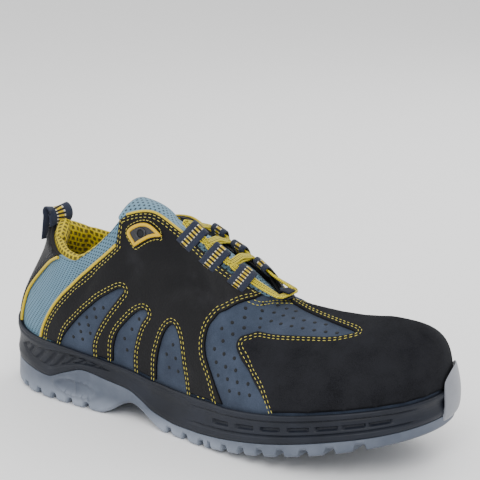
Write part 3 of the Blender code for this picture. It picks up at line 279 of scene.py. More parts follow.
def relief(angle, level):
    turn = turnOf(angle)
    level = np.asarray(level, float)
    total = np.zeros(np.broadcast(turn, level).shape)
    for a, l, runA, runL, half, depth in creases["rows"]:
        u, v = (turn - a) * creases["angleScale"], level - l
        du, dv = runA * creases["angleScale"], runL
        length = math.hypot(du, dv)
        along = (u * du + v * dv) / length
        aside = (u * dv - v * du) / length + creases["bow"] * along * along
        fade = (along / length) ** 2 / creases["fade"]
        total -= depth * np.exp(-(aside / half) ** 2 - fade)
        total += creases["lip"] * depth * np.exp(-((aside - creases["lipPlace"] * half) / half) ** 2 - fade)
    # the padded collar panel swells a little between its pipings
    centre, half = creases["swellTurn"]
    swell = np.exp(-((turn - centre) / half) ** 2) * smoothStep(0.1, 0.5, level) * (1 - smoothStep(0.8, 1.0, level))
    return total + creases["swell"] * swell


def surface(angle, level, offset=0.0):
    angle, level, offset = np.broadcast_arrays(
        np.asarray(angle, float), np.asarray(level, float), np.asarray(offset, float))
    point, normal = wallPoint(angle, level), wallNormal(angle, level)
    ridge = (level > 0.9995) & (turnOf(angle) >= ridgeStart)
    other = wallNormal(360 - angle, level)
    otherPoint = wallPoint(360 - angle, level)
    normal = np.where(ridge[..., None], unit(normal + other), normal)
    point = np.where(ridge[..., None], (point + otherPoint) / 2, point)
    return point + normal * (offset + relief(angle, level))[..., None], normal


clothRise = 0.088  # a usual wall height, so that a level can be read in metres
arcAngles = np.linspace(-360, 720, 2161)
arcLengths = runLengths(wallPoint(arcAngles, 0.35))


def clothPlace(angle, level):  # metres along and up the wall, for weaves
    return np.interp(angle, arcAngles, arcLengths), np.asarray(level, float) * clothRise


print("shoe surface ready")


class Field:  # one output of a node, usable in sums
    def __init__(self, look, made, index=0):
        self.look, self.made, self.socket = look, made, made.outputs[index]

    def out(self, index):
        return Field(self.look, self.made, index)

    def math(self, operation, *values):
        return self.look.node("ShaderNodeMath", {"operation": operation}, values)

    def __add__(self, other):
        return self.math("ADD", self, other)

    def __sub__(self, other):
        return self.math("SUBTRACT", self, other)

    def __rsub__(self, other):
        return self.math("SUBTRACT", other, self)

    def __mul__(self, other):
        return self.math("MULTIPLY", self, other)

    def __truediv__(self, other):
        return self.math("DIVIDE", self, other)

    def __gt__(self, other):
        return self.math("GREATER_THAN", self, other)

    __radd__, __rmul__ = __add__, __mul__

    def sine(self):
        return self.math("SINE", self)

    def wrap(self):
        return self.math("FRACT", self)

    def most(self, other):
        return self.math("MAXIMUM", self, other)

    def size(self):
        return self.math("ABSOLUTE", self)

    def step(self, low, high):
        return self.look.node("ShaderNodeMapRange", {"interpolation_type": "SMOOTHSTEP", "clamp": True},
                              {"Value": self, "From Min": low, "From Max": high})


class Look:  # one finish with its nodes
    def __init__(self, name, colour, roughness, **fixed):
        self.material = bpy.data.materials.new(name)
        self.material.use_nodes = True
        self.tree = self.material.node_tree
        self.shader = self.tree.nodes["Principled BSDF"]
        self.feed("Base Color", (*colour, 1))
        self.feed("Roughness", roughness)
        for key, value in fixed.items():
            self.feed(key.replace("_", " "), value)
        self.material.diffuse_color = (*colour, 1)

    def feed(self, key, value):
        socket = self.shader.inputs[key]
        if isinstance(value, Field):
            self.tree.links.new(value.socket, socket)
        else:
            socket.default_value = value

    def node(self, kind, settings=None, values=()):
        made = self.tree.nodes.new(kind)
        for key, value in (settings or {}).items():
            setattr(made, key, value)
        for key, value in values.items() if isinstance(values, dict) else enumerate(values):
            if isinstance(value, Field):
                self.tree.links.new(value.socket, made.inputs[key])
            else:
                made.inputs[key].default_value = value
        return Field(self, made)

    def place(self):
        return self.node("ShaderNodeTexCoord").out("Object")

    def cloth(self):
        return self.node("ShaderNodeUVMap", {"uv_map": "cloth"})

    def parts(self, vector):
        made = self.node("ShaderNodeSeparateXYZ", {}, (vector,))
        return made.out(0), made.out(1), made.out(2)

    def noise(self, scale, detail=2.0, rough=0.5):
        values = {"Vector": self.place(), "Scale": scale, "Detail": detail, "Roughness": rough}
        return self.node("ShaderNodeTexNoise", {}, values)

    def cells(self, scale, feature):
        return self.node("ShaderNodeTexVoronoi", {"feature": feature}, {"Vector": self.place(), "Scale": scale})

    def tint(self, low, high, share):
        low, high = [end if isinstance(end, Field) else (*end, 1) for end in (low, high)]
        return self.node("ShaderNodeMix", {"data_type": "RGBA"}, {0: share, 6: low, 7: high}).out(2)

    def bump(self, height, distance, strength=1.0):
        self.feed("Normal", self.node("ShaderNodeBump", {}, {"Height": height, "Distance": distance,
                                                            "Strength": strength}))


def suede(name, dark, light, nap, sheen=0.06):
    look = Look(name, light, 0.95, Sheen_Weight=sheen, Sheen_Roughness=0.5, Specular_IOR_Level=0.08)
    brushed = look.noise(55, 3, 0.6)
    grain = look.noise(2600, 2, 0.6)
    look.feed("Base Color", look.tint(dark, light, (brushed * 0.6 + grain * nap - 0.1).step(0.2, 0.75)))
    look.bump(grain + look.noise(900, 2) * 0.5, 0.00018, 0.8)
    return look


def leather(name, dark, light):
    look = Look(name, dark, 0.5, Specular_IOR_Level=0.16)
    pebble = look.cells(900, "SMOOTH_F1")
    crease = look.noise(150, 4, 0.65)
    wear = look.noise(38, 3, 0.7)
    look.feed("Base Color", look.tint(dark, light, wear.step(0.5, 0.85) * 0.8))
    look.feed("Roughness", 0.40 + wear * 0.22)
    look.bump(pebble * 0.7 + crease * 1.3, 0.00022, 0.7)
    return look


def knit(name, dark, light, pitch, slant, hole):
    look = Look(name, light, 0.85, Sheen_Weight=0.08, Specular_IOR_Level=0.25)
    u, v, _ = look.parts(look.cloth())
    row = v / pitch
    wave = (row * 0.5).wrap()
    column = u / (pitch * 1.35) + row * slant + (wave > 0.5) * 0.5
    ribs, rungs = [(field.wrap() - 0.5).size() * 2 for field in (column, row)]
    gapDepthAndShade = (1 - ribs.step(hole, hole + 0.3)) * (1 - rungs.step(hole, hole + 0.35))
    shade = look.noise(60, 3, 0.6)
    # The openings are painted almost the dark tone: painted shade inside the mesh's holes, which the bump also sinks.
    base = look.tint(dark, light, (1 - gapDepthAndShade * 0.95) * (0.78 + shade * 0.4))
    look.feed("Base Color", base)
    look.bump((1 - gapDepthAndShade) + look.noise(3000, 1) * 0.2, pitch * 0.35, 0.9)
    return look


def webbingLook(name, yellow):
    look = Look(name, (0.02, 0.02, 0.03), 0.8, Sheen_Weight=0.1, Specular_IOR_Level=0.25)
    u, v, _ = look.parts(look.cloth())
    middle = 1 - (u - 0.5).size().step(0.17, 0.20)
    rung = (v / 0.0022).wrap()
    bar = rung.step(0.30, 0.38) * (1 - rung.step(0.78, 0.86))
    edge = (u - 0.5).size().step(0.115, 0.135)
    ladder = look.tint((0.008, 0.008, 0.010), look.tint(yellow, (0.62, 0.60, 0.50), edge * 0.9), bar)
    cloth = look.tint((0.010, 0.014, 0.030), (0.022, 0.030, 0.058), (v / 0.0006).wrap())
    look.feed("Base Color", look.tint(cloth, ladder, middle))
    twill = ((v / 0.0006 + u * 8) * 6.2832).sine() * 0.3 + ((u * 40) * 6.2832).sine() * 0.2
    look.bump(twill + bar * middle * 1.6, 0.00030, 0.9)
    return look


def laceLook():
    look = Look("yellowLace", (0.62, 0.44, 0.03), 0.8, Sheen_Weight=0.1, Specular_IOR_Level=0.25)
    u, v, _ = look.parts(look.cloth())
    stripe = ((u - 0.5).size() - 0.22).size()
    dark = (1 - stripe.step(0.035, 0.075)) * ((v / 0.0016).wrap() > 0.22)
    centre = (1 - (u - 0.5).size().step(0.02, 0.05)) * 0.7
    braid = ((v / 0.0011 + (u - 0.5).size() * 3) * 6.2832).sine()
    # The braid's crests are painted lighter and its grooves darker, following the bump: painted highlight and shade.
    shade = look.tint((0.36, 0.28, 0.008), (0.80, 0.66, 0.02), braid * 0.5 + 0.5)
    look.feed("Base Color", look.tint(shade, (0.010, 0.010, 0.012), dark.most(centre)))
    look.bump(braid * 0.5 - dark * 0.3, 0.00030, 0.9)
    return look


def rubber(name, dark, light, roughness):
    look = Look(name, light, roughness, Specular_IOR_Level=0.24)
    cloud = look.noise(22, 4, 0.6)
    scuff = look.noise(320, 3, 0.7)
    look.feed("Base Color", look.tint(dark, light, cloud.step(0.3, 0.7) * 0.8 + scuff * 0.25))
    look.feed("Roughness", roughness + scuff * 0.18)
    look.bump(look.noise(1500, 2) * 0.4 + scuff * 0.5, 0.00012, 0.7)
    return look


yellow = (0.62, 0.43, 0.002)
looks = {
    "blueSuede": suede("blueGreySuede", (0.024, 0.032, 0.050), (0.052, 0.068, 0.102), 0.5),
    "blackSuede": suede("blackSuede", (0.0022, 0.0024, 0.0032), (0.0150, 0.0155, 0.0185), 0.8, 0.0),
    "leather": leather("blackLeather", (0.0035, 0.0035, 0.0045), (0.014, 0.014, 0.017)),
    "collarMesh": knit("lightBlueMesh", (0.010, 0.022, 0.034), (0.105, 0.20, 0.275), 0.0021, 0.25, 0.22),
    "tongueMesh": knit("tongueMesh", (0.006, 0.014, 0.022), (0.14, 0.25, 0.33), 0.0023, 0.0, 0.24),
    "lining": knit("yellowSpacerMesh", (0.09, 0.07, 0.003), (0.52, 0.40, 0.003), 0.0036, 0.10, 0.42),
    "webbing": webbingLook("stripedWebbing", yellow),
    "lace": laceLook(),
    "midsole": rubber("navyMidsole", (0.0045, 0.0056, 0.0092), (0.0120, 0.0148, 0.0235), 0.40),
    "outsole": rubber("translucentRubber", (0.10, 0.115, 0.15), (0.20, 0.23, 0.29), 0.35),
    "bumper": rubber("clearRubber", (0.15, 0.16, 0.18), (0.24, 0.25, 0.28), 0.35),
    "insole": suede("greyInsole", (0.03, 0.035, 0.045), (0.06, 0.065, 0.08), 0.4),
    "thread": Look("yellowThread", (0.46, 0.38, 0.06), 0.7),
    "trim": Look("yellowTrim", yellow, 0.65, Sheen_Weight=0.1),
    "gold": Look("goldOutline", (0.56, 0.35, 0.001), 0.6),
    "tape": Look("darkTape", (0.010, 0.012, 0.022), 0.8, Specular_IOR_Level=0.2),
    # The hole finish goes on flat dark discs in the perforations and eyelet holes: painted shade standing in for the
    # openings.
    "hole": Look("paintedHoleShade", (0.004, 0.005, 0.007), 0.9),
    "ring": Look("eyeletRing", (0.012, 0.013, 0.018), 0.35),
}
twist = looks["trim"].noise(1800, 2)
# The cord is painted lighter where its twist bump rises and darker where it sinks: painted highlight and shade.
looks["trim"].feed("Base Color", looks["trim"].tint((0.36, 0.26, 0.001), (0.64, 0.47, 0.002), twist))
looks["trim"].bump(twist, 0.0001, 0.7)
fibre = looks["thread"].noise(4000, 2)
looks["thread"].feed("Base Color", looks["thread"].tint((0.28, 0.23, 0.03), (0.66, 0.58, 0.10), fibre))
# The outsole is painted lighter near the floor and darker higher up: painted light, standing in for light shining
# through the clear rubber near its lower edge.
glowPaintedOutsole = looks["outsole"]
height = glowPaintedOutsole.parts(glowPaintedOutsole.place())[2]
cloud = glowPaintedOutsole.noise(30, 4, 0.6).step(0.25, 0.75)
clear = glowPaintedOutsole.tint((0.25, 0.28, 0.34), (0.15, 0.175, 0.22), cloud)
deep = glowPaintedOutsole.tint((0.060, 0.072, 0.098), (0.115, 0.133, 0.170), cloud)
glowPaintedOutsole.feed("Base Color", glowPaintedOutsole.tint(clear, deep, height.step(0.002, 0.014)))
print("finishes ready")


def makeMesh(name, points, faces, uv=None):
    mesh = bpy.data.meshes.new(name)
    mesh.from_pydata([tuple(map(float, p)) for p in points], [], [tuple(map(int, f)) for f in faces])
    if uv is not None:
        layer = mesh.uv_layers.new(name="cloth")
        index = np.empty(len(mesh.loops), int)
        mesh.loops.foreach_get("vertex_index", index)
        layer.data.foreach_set("uv", np.asarray(uv, float)[index].ravel())
    mesh.shade_smooth()
    piece = bpy.data.objects.new(name, mesh)
    scene.collection.objects.link(piece)
    return piece


def plain(piece):  # keeps what the modifiers make, as a plain mesh
    bpy.context.view_layer.update()
    mesh = bpy.data.meshes.new_from_object(piece.evaluated_get(bpy.context.evaluated_depsgraph_get()))
    old = piece.data
    piece.modifiers.clear()
    piece.data = mesh
    bpy.data.meshes.remove(old)
    mesh.shade_smooth()


def settle(piece, lookNames, *nodes):  # finish, body and CAD nodes of one piece
    names = [lookNames] if isinstance(lookNames, str) else lookNames
    if not piece.data.materials:
        for name in names:
            piece.data.materials.append(looks[name].material)
    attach(piece, "root")
    if nodes:
        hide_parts(*nodes)


def gridFaces(rows, columns, wrapRows=False, wrapColumns=False):
    faces = []
    for i in range(rows if wrapRows else rows - 1):
        for k in range(columns if wrapColumns else columns - 1):
            j, m = (i + 1) % rows, (k + 1) % columns
            faces.append((i * columns + k, j * columns + k, j * columns + m, i * columns + m))
    return faces


def tubeFaces(rings, count):  # rings of points with both ends closed
    ends = [tuple(range(count)), tuple((rings - 1) * count + k for k in reversed(range(count)))]
    return gridFaces(rings, count, wrapColumns=True) + ends


def rounded(piece, levels):
    smooth = piece.modifiers.new("smooth", "SUBSURF")
    smooth.levels = smooth.render_levels = levels


def weld(piece, distance=0.0000001, outward=True):
    work = bmesh.new()
    work.from_mesh(piece.data)
    bmesh.ops.remove_doubles(work, verts=work.verts, dist=distance)
    if outward:
        bmesh.ops.recalc_face_normals(work, faces=work.faces)
    work.to_mesh(piece.data)
    work.free()
    piece.data.shade_smooth()


shell = {"columns": 360, "rows": 46, "sunkRows": 5, "meshRim": (43, 70), "weld": 0.000002,
         "collarEnd": ((0.0, 46.5), (0.4, 53.0), (0.6, 60.0), (0.8, 64.0), (0.83, 74.0), (1.0, 74.0))}


def makeUpper():
    angles = np.arange(shell["columns"]) * 360 / shell["columns"]
    levels = np.concatenate([np.linspace(-1, 0, shell["sunkRows"])[:-1], np.linspace(0, 1, shell["rows"])])
    a, l = np.meshgrid(angles, levels, indexing="ij")
    points, normals = surface(a, l)
    inner = points - normals * shoe["wall"]
    count = a.size
    u, v = clothPlace(a, l)
    rows = len(levels)
    columns = shell["columns"]
    faces = [face[::-1] for face in gridFaces(columns, rows, wrapRows=True)]
    insideFaces = [tuple(count + k for k in reversed(face)) for face in faces]
    rim, rimIndex = [], []
    for i in range(columns):
        j = (i + 1) % columns
        low, high = i * rows, j * rows
        rim.append((low, count + low, count + high, high))
        rimIndex.append(0)
        if turnOf(angles[i]) < ridgeStart or turnOf(angles[j]) < ridgeStart:
            rim.append((high + rows - 1, count + high + rows - 1, count + low + rows - 1, low + rows - 1))
            rimIndex.append(1 if shell["meshRim"][0] < turnOf(angles[i]) < shell["meshRim"][1] else 3)
    allPoints = np.concatenate([points.reshape(-1, 3), inner.reshape(-1, 3)])
    uv = np.tile(np.stack([u.ravel(), v.ravel()], -1), (2, 1))
    piece = makeMesh("upperShell", allPoints, faces + insideFaces + rim, uv)
    for name in ("blueSuede", "collarMesh", "insole", "leather"):
        piece.data.materials.append(looks[name].material)
    middle = np.array([np.mean([a.ravel()[k % count] for k in face]) for face in faces])
    height = np.array([np.mean([l.ravel()[k % count] for k in face]) for face in faces])
    turn = turnOf(middle)
    ends = np.array(shell["collarEnd"])
    collar = turn < np.interp(height, ends[:, 0], ends[:, 1])
    index = np.concatenate([np.where(collar, 1, 0), np.full(len(insideFaces), 2), rimIndex])
    piece.data.polygons.foreach_set("material_index", index.astype(np.int32))
    weld(piece, shell["weld"], outward=False)
    settle(piece, "blueSuede", "upper")


makeUpper()
print("upper shell ready")


collarPad = {"turn": 80, "columns": 150, "thick": 0.0088, "roll": 0.0030, "gap": 0.0004, "fadeOut": (58, 80),
             "rollEnd": (62, 78), "foldTurn": 27, "foldHalf": 2.6, "fold": 0.42, "quilt": 0.05}
padSection = (  # level, share of the pad's thickness, rise as share of the roll
    (0.42, 0.00, 0.0), (0.55, 0.00, 0.0), (0.70, 0.00, 0.0), (0.84, 0.00, 0.0), (0.95, 0.00, 0.0), (1.0, 0.06, 0.10),
    (1.0, 0.18, 0.62), (1.0, 0.36, 0.92), (1.0, 0.56, 1.00), (1.0, 0.76, 0.82), (1.0, 0.93, 0.40), (0.985, 1.03, 0.0),
    (0.94, 1.10, 0.0), (0.87, 1.12, 0.0), (0.79, 1.07, 0.0), (0.71, 0.97, 0.0), (0.63, 0.80, 0.0), (0.56, 0.56, 0.0),
    (0.49, 0.28, 0.0), (0.44, 0.08, 0.0),
)


def makeCollarPad():
    angles = np.linspace(-collarPad["turn"], collarPad["turn"], collarPad["columns"])
    levels, shares, rises = [np.array(row) for row in zip(*padSection)]
    a, level = np.meshgrid(angles, levels, indexing="ij")
    turn = np.abs(a)
    full = collarPad["thick"] * (1 - smoothStep(*collarPad["fadeOut"], turn))
    full *= 0.86 + 0.14 * np.cos(np.radians(turn * 4))
    quilt = 1 + collarPad["quilt"] * np.sin(np.radians(a * 9)) * np.sin(level * 13)
    # a crease runs down the lining beside the heel
    crease = np.exp(-((turn - collarPad["foldTurn"]) / collarPad["foldHalf"]) ** 2)
    fold = 1 - collarPad["fold"] * crease * (shares > 0.3)
    depth = shoe["wall"] + collarPad["gap"] + full * shares * quilt * fold
    point, normal = surface(a, level)
    flat = normal.copy()
    flat[..., 2] *= 0.3
    point = point - unit(flat) * depth[..., None]
    point[..., 2] += collarPad["roll"] * rises * (1 - smoothStep(*collarPad["rollEnd"], turn)) * (1 - 0.3 * crease)
    rows = len(padSection)
    u, _ = clothPlace(a, level)
    arc = runLengths(point[collarPad["columns"] // 2])
    v = np.broadcast_to(arc, a.shape)
    uv = np.stack([u.ravel(), v.ravel()], -1)
    piece = makeMesh("collarPad", point.reshape(-1, 3), tubeFaces(len(angles), rows), uv)
    weld(piece)
    rounded(piece, 1)
    plain(piece)
    settle(piece, "lining")


makeCollarPad()
print("collar lining ready")

# Edges of the panels: angle, level, and 1 where the edge runs round
toeCapEdge = (
    (119.5, 0.015, 0), (116.0, 0.160, 1), (112.5, 0.290, 1), (109.0, 0.425, 1), (108.3, 0.495, 1), (109.5, 0.560, 1),
    (112.5, 0.588, 1), (119.5, 0.605, 1), (127.5, 0.630, 1), (135.0, 0.650, 1), (140.5, 0.690, 1), (142.5, 0.735, 1),
    (134.0, 0.820, 1), (124.0, 0.900, 1), (117.0, 0.965, 0), (114.5, 1.000, 0),
)
quarterEdge = (
    (42.0, 0.015, 0), (43.5, 0.165, 1), (47.5, 0.420, 1), (54.5, 0.700, 1), (61.5, 0.800, 1), (67.5, 0.825, 1),
    (71.5, 0.830, 0), (72.5, 1.000, 0), (109.8, 1.000, 0), (109.3, 0.920, 0), (105.5, 0.725, 1), (102.5, 0.610, 1),
    (100.0, 0.455, 1), (99.5, 0.320, 1), (101.5, 0.175, 1), (104.0, 0.015, 0), (92.8, 0.015, 0), (92.5, 0.090, 1),
    (92.0, 0.205, 1), (91.5, 0.330, 1), (90.3, 0.390, 1), (88.8, 0.385, 1), (86.5, 0.320, 1), (84.8, 0.235, 1),
    (83.5, 0.130, 1), (83.0, 0.015, 0), (76.0, 0.015, 0), (76.2, 0.110, 1), (77.5, 0.235, 1), (79.3, 0.330, 1),
    (81.2, 0.390, 1), (80.2, 0.412, 1), (77.5, 0.385, 1), (74.5, 0.320, 1), (71.5, 0.240, 1), (70.0, 0.140, 1),
    (69.5, 0.015, 0), (63.0, 0.015, 0), (63.0, 0.115, 1), (65.0, 0.260, 1), (68.5, 0.390, 1), (72.5, 0.480, 1),
    (74.0, 0.515, 1), (72.5, 0.535, 1), (68.5, 0.525, 1), (64.0, 0.485, 1), (58.5, 0.370, 1), (53.5, 0.175, 1),
    (50.5, 0.015, 0),
)
heelEdge = ((22.0, 0.015, 0), (22.5, 0.150, 1), (21.5, 0.400, 1), (27.0, 0.670, 1), (35.0, 0.860, 1), (44.0, 1.0, 0))
eyeletEdge = ((76.2, 0.885, 1), (78.2, 0.785, 0), (86.0, 0.870, 0), (80.8, 0.915, 1))
panels = {"steps": 12, "spacing": 0.0022, "profile": ((0.0, 0.50), (0.00018, 0.78), (0.0005, 0.94), (0.0011, 1.0))}


def trace(corners, steps, closed=True):
    count = len(corners)
    points = []
    for i in range(count if closed else count - 1):
        start, end = np.array(corners[i][:2]), np.array(corners[(i + 1) % count][:2])
        before = np.array(corners[i - 1][:2]) if closed or i else start
        after = np.array(corners[(i + 2) % count][:2]) if closed or i < count - 2 else end
        leave = (end - before) / 2 if corners[i][2] else end - start
        arrive = (after - start) / 2 if corners[(i + 1) % count][2] else end - start
        for t in np.arange(steps) / steps:
            points.append((2 * t ** 3 - 3 * t * t + 1) * start + (t ** 3 - 2 * t * t + t) * leave
                          + (3 * t * t - 2 * t ** 3) * end + (t ** 3 - t * t) * arrive)
    if not closed:
        points.append(np.array(corners[-1][:2]))
    return np.array(points)


def mirrored(corners):
    return [(360 - row[0], row[1], row[2]) for row in reversed(corners)]


def toPlane(spots):
    return np.stack(clothPlace(spots[:, 0], spots[:, 1]), -1)


def fromPlane(flat):
    return np.interp(flat[:, 0], arcLengths, arcAngles), flat[:, 1] / clothRise


def lineDistance(points, line):
    start, run = line[:-1], np.diff(line, axis=0)
    best = np.full(len(points), 1e9)
    square = np.maximum((run ** 2).sum(-1), 1e-16)
    for chunk in range(0, len(points), 2000):
        away = points[chunk:chunk + 2000, None] - start[None]
        share = np.clip((away * run).sum(-1) / square, 0, 1)
        gap = away - run * share[..., None]
        best[chunk:chunk + 2000] = np.sqrt((gap ** 2).sum(-1)).min(1)
    return best


def within(points, loop):
    x, y = points[:, 0][:, None], points[:, 1][:, None]
    x0, y0 = loop[:, 0], loop[:, 1]
    x1, y1 = np.roll(x0, -1), np.roll(y0, -1)
    crosses = (y0 > y) != (y1 > y)
    at = x0 + (y - y0) / np.where(y1 == y0, 1, y1 - y0) * (x1 - x0)
    return (crosses & (x < at)).sum(1) % 2 == 1


def leftTurning(line):  # the same loop, run anticlockwise
    after = np.roll(line, -1, axis=0)
    return line[::-1] if np.sum(line[:, 0] * after[:, 1] - after[:, 0] * line[:, 1]) < 0 else line


def insetLoop(line, distance, closed=True):
    if closed:
        tangent = np.roll(line, -1, 0) - np.roll(line, 1, 0)
    else:
        tangent = np.gradient(line, axis=0)
    tangent = unit(tangent)
    return line + np.stack([-tangent[:, 1], tangent[:, 0]], -1) * distance


def makePanel(name, edge, lookName, nodes, lift=0.0003, thick=0.0013, ridge=False, spacing=None):
    outer = leftTurning(toPlane(edge))
    spacing = spacing or panels["spacing"]
    profile = np.array(panels["profile"])
    closed = np.concatenate([outer, outer[:1]])
    lines = [closed]
    if ridge:  # both sides meet on the ridge, so the edge there isn't a real one
        below = closed[:, 1] < clothRise - 0.0001
        cuts = np.flatnonzero(np.diff(below.astype(int))) + 1
        lines = [run for run, real in zip(np.split(closed, cuts), np.split(below, cuts)) if real[0] and len(run) > 1]
    rings = [insetLoop(outer, distance) for distance in profile[1:, 0]]
    inner = np.concatenate([ring[within(ring, outer)] for ring in rings])
    low, high = outer.min(0), outer.max(0)
    us, vs = np.arange(low[0], high[0], spacing), np.arange(low[1], high[1], spacing)
    lattice = np.stack(np.meshgrid(us, vs, indexing="ij"), -1)
    lattice[:, ::2, 0] += spacing / 2
    lattice = lattice.reshape(-1, 2)
    lattice = lattice[within(lattice, outer)]
    lattice = lattice[lineDistance(lattice, closed) > profile[-1, 0] + spacing * 0.35]
    inner = inner[lineDistance(inner, closed) > profile[1, 0] * 0.8]
    points = np.concatenate([outer, inner, lattice])
    count = len(outer)
    border = [(k, (k + 1) % count) for k in range(count)]
    flat, _, triangles = delaunay_2d_cdt([Vector(p) for p in points], border, [], 1, 1e-7)[:3]
    flat = np.array([tuple(p) for p in flat])
    angle, level = fromPlane(flat)
    level = np.clip(level, 0, 1)
    away = np.min([lineDistance(flat, line) for line in lines], axis=0)
    outside = surface(angle, level, lift + thick * np.interp(away, profile[:, 0], profile[:, 1]))[0]
    base = surface(angle, level, lift * 0.3)[0]
    total = len(flat)
    faces = [tuple(face) for face in triangles]
    sides = dict.fromkeys((face[k], face[(k + 1) % 3]) for face in faces for k in range(3))
    walls = [(b, a, a + total, b + total) for a, b in sides if (b, a) not in sides
             and not (ridge and level[a] > 0.9995 and level[b] > 0.9995)]
    faces += [tuple(total + k for k in reversed(face)) for face in faces] + walls
    piece = makeMesh(name, np.concatenate([outside, base]), faces, np.concatenate([flat, flat]))
    weld(piece, 0.000004 if ridge else 0.0000001)
    piece.data.set_sharp_from_angle(angle=math.radians(62))
    settle(piece, lookName, *nodes)


quarterSides = (("Outer", quarterEdge, "lateral"), ("Inner", mirrored(quarterEdge), "medial"))
for title, corners, side in quarterSides:
    makePanel("quarter" + title, trace(corners, panels["steps"]), "leather", ["quarter_overlay_" + side])
heelWhole = list(heelEdge) + [(-row[0], row[1], row[2]) for row in reversed(heelEdge)]
makePanel("heelStrip", trace(heelWhole, panels["steps"]), "leather", ["heel_strip"])
capTrace = trace(list(toeCapEdge) + mirrored(toeCapEdge), panels["steps"])
makePanel("toeCap", capTrace, "blackSuede", ["toe_cap"], ridge=True)
print("panels ready")


class Tree:  # a geometry node tree with named inputs
    def __init__(self, name, inputs):
        self.group = bpy.data.node_groups.new(name, "GeometryNodeTree")
        face = self.group.interface
        face.new_socket("Geometry", in_out="INPUT", socket_type="NodeSocketGeometry")
        for title, value in inputs:
            face.new_socket(title, in_out="INPUT", socket_type="NodeSocketFloat").default_value = value
        face.new_socket("Material", in_out="INPUT", socket_type="NodeSocketMaterial")
        face.new_socket("Geometry", in_out="OUTPUT", socket_type="NodeSocketGeometry")
        self.start = self.group.nodes.new("NodeGroupInput").outputs

    def node(self, kind, settings=None, values=None):
        made = self.group.nodes.new(kind)
        for key, value in (settings or {}).items():
            setattr(made, key, value)
        for key, value in (values or {}).items():
            if isinstance(value, bpy.types.NodeSocket):
                self.group.links.new(value, made.inputs[key])
            else:
                made.inputs[key].default_value = value
        return made.outputs[0]

    def close(self, geometry):
        real = self.node("GeometryNodeRealizeInstances", {}, {"Geometry": geometry})
        smooth = self.node("GeometryNodeSetShadeSmooth", {}, {0: real})
        dressed = self.node("GeometryNodeSetMaterial", {}, {"Geometry": smooth, "Material": self.start["Material"]})
        end = self.group.nodes.new("NodeGroupOutput")
        self.group.links.new(dressed, end.inputs[0])
        return self.group

    def facing(self, tangent=None):
        up = self.node("GeometryNodeInputNamedAttribute", {"data_type": "FLOAT_VECTOR"}, {"Name": "up"})
        if tangent is None:
            return self.node("FunctionNodeAlignRotationToVector", {"axis": "Z"}, {"Vector": up})
        first = self.node("FunctionNodeAlignRotationToVector", {"axis": "X"}, {"Vector": tangent})
        return self.node("FunctionNodeAlignRotationToVector", {"axis": "Z", "pivot_axis": "X"},
                         {"Rotation": first, "Vector": up})


def bead(tree, segments, rings, sizes):
    ball = tree.node("GeometryNodeMeshUVSphere", {}, {"Segments": segments, "Rings": rings, "Radius": 0.5})
    scale = tree.node("ShaderNodeCombineXYZ", {}, dict(zip("XYZ", sizes)))
    return ball, scale


def stitchTree():
    tree = Tree("stitches", (("Pitch", 0.0026), ("Length", 0.0021), ("Width", 0.00050), ("Height", 0.00045)))
    curve = tree.node("GeometryNodeMeshToCurve", {}, {"Mesh": tree.start["Geometry"]})
    spacing = {"Curve": curve, "Length": tree.start["Pitch"]}
    steps = tree.node("GeometryNodeResampleCurve", {"mode": "LENGTH"}, spacing)
    ball, scale = bead(tree, 6, 4, (tree.start["Length"], tree.start["Width"], tree.start["Height"]))
    spin = tree.facing(tree.node("GeometryNodeInputTangent"))
    values = {"Points": steps, "Instance": ball, "Rotation": spin, "Scale": scale}
    return tree.close(tree.node("GeometryNodeInstanceOnPoints", {}, values))


def dotTree():
    tree = Tree("perforations", (("Width", 0.0014), ("Height", 0.0003)))
    ball, scale = bead(tree, 10, 4, (tree.start["Width"], tree.start["Width"], tree.start["Height"]))
    values = {"Points": tree.start["Geometry"], "Instance": ball, "Rotation": tree.facing(), "Scale": scale}
    return tree.close(tree.node("GeometryNodeInstanceOnPoints", {}, values))


def cordTree():
    tree = Tree("piping", (("Radius", 0.0009),))
    curve = tree.node("GeometryNodeMeshToCurve", {}, {"Mesh": tree.start["Geometry"]})
    ring = tree.node("GeometryNodeCurvePrimitiveCircle", {}, {"Resolution": 12, "Radius": tree.start["Radius"]})
    return tree.close(tree.node("GeometryNodeCurveToMesh", {}, {"Curve": curve, "Profile Curve": ring,
                                                               "Fill Caps": True}))


trees = {"stitch": stitchTree(), "dot": dotTree(), "cord": cordTree()}


def grow(name, runs, treeName, values, lookName, nodes=(), closed=False, loose=False):
    points, normals, edges = [], [], []
    for place, normal in runs:
        start = len(points)
        points += [tuple(p) for p in place]
        normals += [tuple(n) for n in normal]
        if not loose:
            edges += [(start + k, start + k + 1) for k in range(len(place) - 1)]
            if closed:
                edges.append((start + len(place) - 1, start))
    mesh = bpy.data.meshes.new(name)
    mesh.from_pydata(points, edges, [])
    mesh.attributes.new("up", "FLOAT_VECTOR", "POINT").data.foreach_set("vector", np.array(normals).ravel())
    piece = bpy.data.objects.new(name, mesh)
    scene.collection.objects.link(piece)
    modifier = piece.modifiers.new("growth", "NODES")
    modifier.node_group = trees[treeName]
    names = {item.name: item.identifier for item in trees[treeName].interface.items_tree if item.in_out == "INPUT"}
    for key, value in values.items():
        modifier[names[key]] = value
    modifier[names["Material"]] = looks[lookName].material
    plain(piece)
    weld(piece)
    settle(piece, lookName, *nodes)


def onPlane(flat, offset):
    angle, level = fromPlane(flat)
    return surface(angle, np.clip(level, 0, 1), offset)


def trueInset(line, distance, closed=True):  # the same real distance everywhere on the wall
    step = insetLoop(line, 0.0005, closed) - line
    here, there = onPlane(line, 0)[0], onPlane(line + step, 0)[0]
    stretch = np.clip(np.linalg.norm(there - here, axis=-1) / 0.0005, 0.3, 3)
    return line + step / 0.0005 * (distance / stretch)[:, None], distance / stretch


